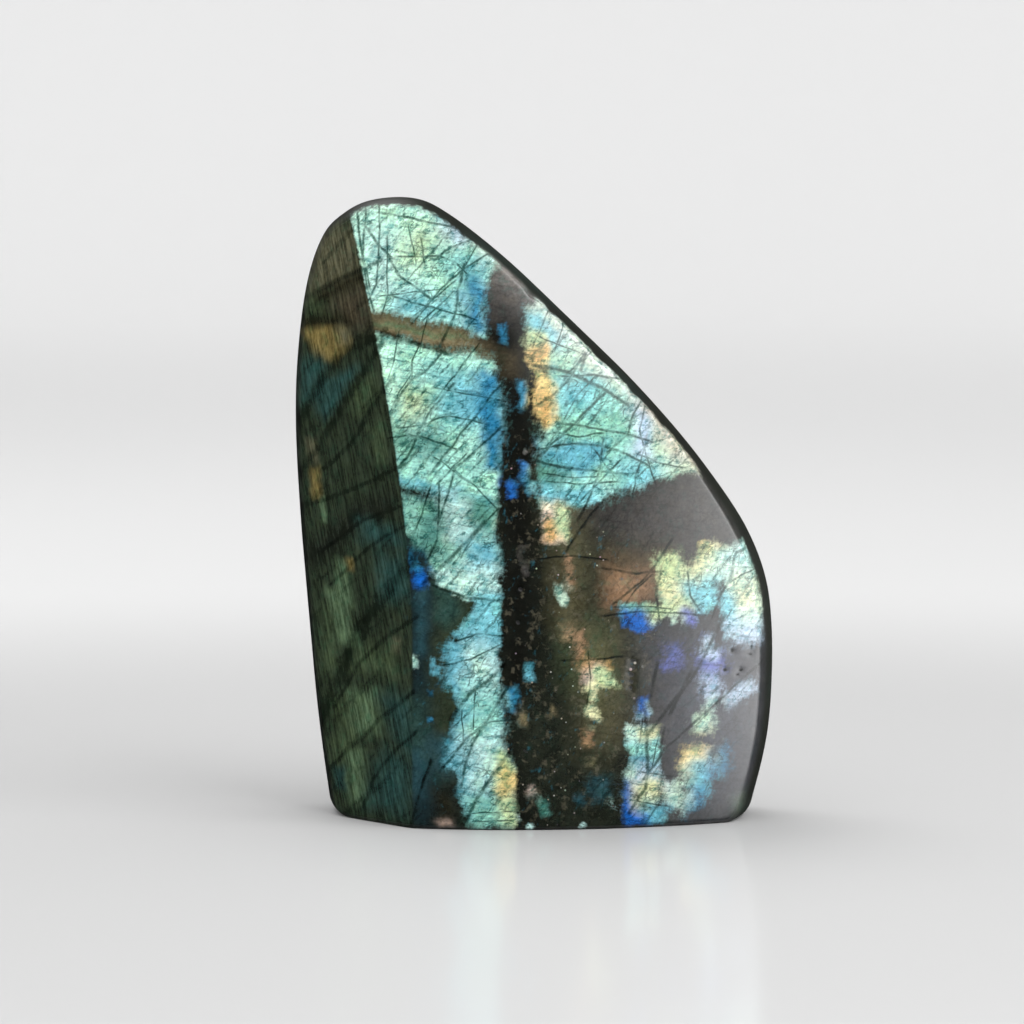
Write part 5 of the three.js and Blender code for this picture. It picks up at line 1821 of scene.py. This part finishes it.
@dataclass
class Studio:
    """The pale floor, the lights and the camera, in mm, degrees and pixels of the photograph."""

    focal_px: float = 4900.0
    image_px: float = 1024.0
    aim_px: float = 372.0
    sensor: float = 36.0
    distance: float = 784.0
    eye_height: float = 108.5
    eye_x: float = -3.46
    floor_radii: tuple[float, ...] = (20.0, 200.0, 800.0)
    bowl_radius: float = 2600.0
    bowl_wall: float = 900.0
    bowl_turn: float = 500.0
    bowl_steps: int = 12
    bowl_sides: int = 96
    floor_shade: float = 0.66
    wall_shade: float = 0.94
    wall_start: float = 300.0
    wall_full: float = 2500.0
    floor_gloss: float = 0.4
    gloss_start: float = 420.0
    gloss_full: float = 160.0
    gloss_roughness: float = 0.12
    floor_roughness: float = 0.6
    room_light: float = 0.9
    lamp_aim: float = 45.0
    lights: tuple[Softbox, ...] = (
        Softbox("window", 62.0, 4.0, 1400.0, 900.0, 4.8, fades=True, lights=False),
        Softbox("high_window", 19.0, 27.0, 760.0, 460.0, 9.0, fades=True, lights=False),
        Softbox("daylight", 50.0, 30.0, 900.0, 900.0, 2.4, mirrored=False),
        Softbox("back_window", 215.0, 58.0, 700.0, 500.0, 3.0),
    )

    def camera(self) -> None:
        """Place the camera where the photograph was taken from."""
        data = bpy.data.cameras.new("view")
        data.lens = self.focal_px / self.image_px * self.sensor
        data.sensor_width = self.sensor
        camera = bpy.data.objects.new("view", data)
        pitch = math.atan(self.aim_px / self.focal_px)
        camera.location = Vector((self.eye_x, -self.distance, self.eye_height)) * MM
        camera.rotation_euler = (math.radians(90.0) - pitch, 0.0, 0.0)
        bpy.context.scene.collection.objects.link(camera)
        bpy.context.scene.camera = camera

    def bowl(self) -> bpy.types.Mesh:
        """Return a round floor that curves up into a low wall all round."""
        turn = [
            (self.bowl_radius - self.bowl_turn * (1.0 - math.sin(a)), self.bowl_turn * (1.0 - math.cos(a)))
            for a in np.linspace(0.0, math.pi / 2.0, self.bowl_steps + 1)
        ]
        flat = [(radius, 0.0) for radius in self.floor_radii]
        profile = [*flat, *turn, (self.bowl_radius, self.bowl_turn + self.bowl_wall)]
        sides = self.bowl_sides
        points = [(0.0, 0.0, 0.0)]
        for radius, height in profile:
            for k in range(sides):
                a = 2.0 * math.pi * k / sides
                points.append((radius * math.cos(a) * MM, radius * math.sin(a) * MM, height * MM))
        faces = [(0, 1 + k, 1 + (k + 1) % sides) for k in range(sides)]
        for ring in range(len(profile) - 1):
            start = 1 + ring * sides
            for k in range(sides):
                n = (k + 1) % sides
                faces.append((start + k, start + sides + k, start + sides + n, start + n))
        mesh = bpy.data.meshes.new("floor")
        mesh.from_pydata(points, [], faces)
        mesh.shade_smooth()
        return mesh

    def floor_finish(self) -> bpy.types.Material:
        """Return the pale floor's material: a soft gloss near the stone, and lighter far away."""
        material = bpy.data.materials.new("pale_floor")
        material.use_nodes = True
        shader = material.node_tree.nodes["Principled BSDF"]
        bench = Bench(material.node_tree)
        place = bench.node("ShaderNodeTexCoord", output="Object")
        away = bench.node("ShaderNodeVectorMath", {"operation": "LENGTH"}, {"Vector": place}, "Value")
        near, far = ((shade, shade, shade, 1.0) for shade in (self.floor_shade, self.wall_shade))
        shade = bench.blend(away.ramp(self.wall_start * MM, self.wall_full * MM), near, far)
        gloss = away.ramp(self.gloss_start * MM, self.gloss_full * MM) * self.floor_gloss
        bench.tree.links.new(shade.socket, shader.inputs["Base Color"])
        bench.tree.links.new(gloss.socket, shader.inputs["Coat Weight"])
        shader.inputs["Coat Roughness"].default_value = self.gloss_roughness
        shader.inputs["Roughness"].default_value = self.floor_roughness
        shader.inputs["Specular IOR Level"].default_value = 0.0
        return material

    def floor(self) -> None:
        """Lay the floor, which the stone's polish doesn't mirror."""
        mesh = self.bowl()
        mesh.materials.append(self.floor_finish())
        floor = bpy.data.objects.new("floor", mesh)
        bpy.context.scene.collection.objects.link(floor)
        floor.visible_glossy = False

    def surroundings(self) -> None:
        """Set the even soft light of the room, which the polish doesn't mirror."""
        world = bpy.data.worlds.new("room")
        bpy.context.scene.world = world
        world.use_nodes = True
        background = world.node_tree.nodes["Background"]
        background.inputs["Color"].default_value = (1.0, 1.0, 1.0, 1.0)
        background.inputs["Strength"].default_value = self.room_light
        world.cycles_visibility.glossy = False
        bpy.context.scene.view_settings.view_transform = "Standard"

    def build(self) -> None:
        """Set up everything that isn't the stone."""
        self.surroundings()
        self.camera()
        self.floor()
        for softbox in self.lights:
            softbox.hang(Vector((0.0, 0.0, self.lamp_aim)) * MM)


def main() -> None:
    """Build the stone and its studio, and hand the pieces to the frame."""
    logging.basicConfig(level=logging.INFO)
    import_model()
    Studio().build()
    stone = build_mesh(StoneShape(), Markings())
    HandPolish().apply(stone, LabradoriteFinish().dress())
    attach(stone, "root")
    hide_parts(NODE)
    LOG.info("%s: %d faces", stone.name, len(stone.data.polygons))


if __name__ == "__main__":
    main()
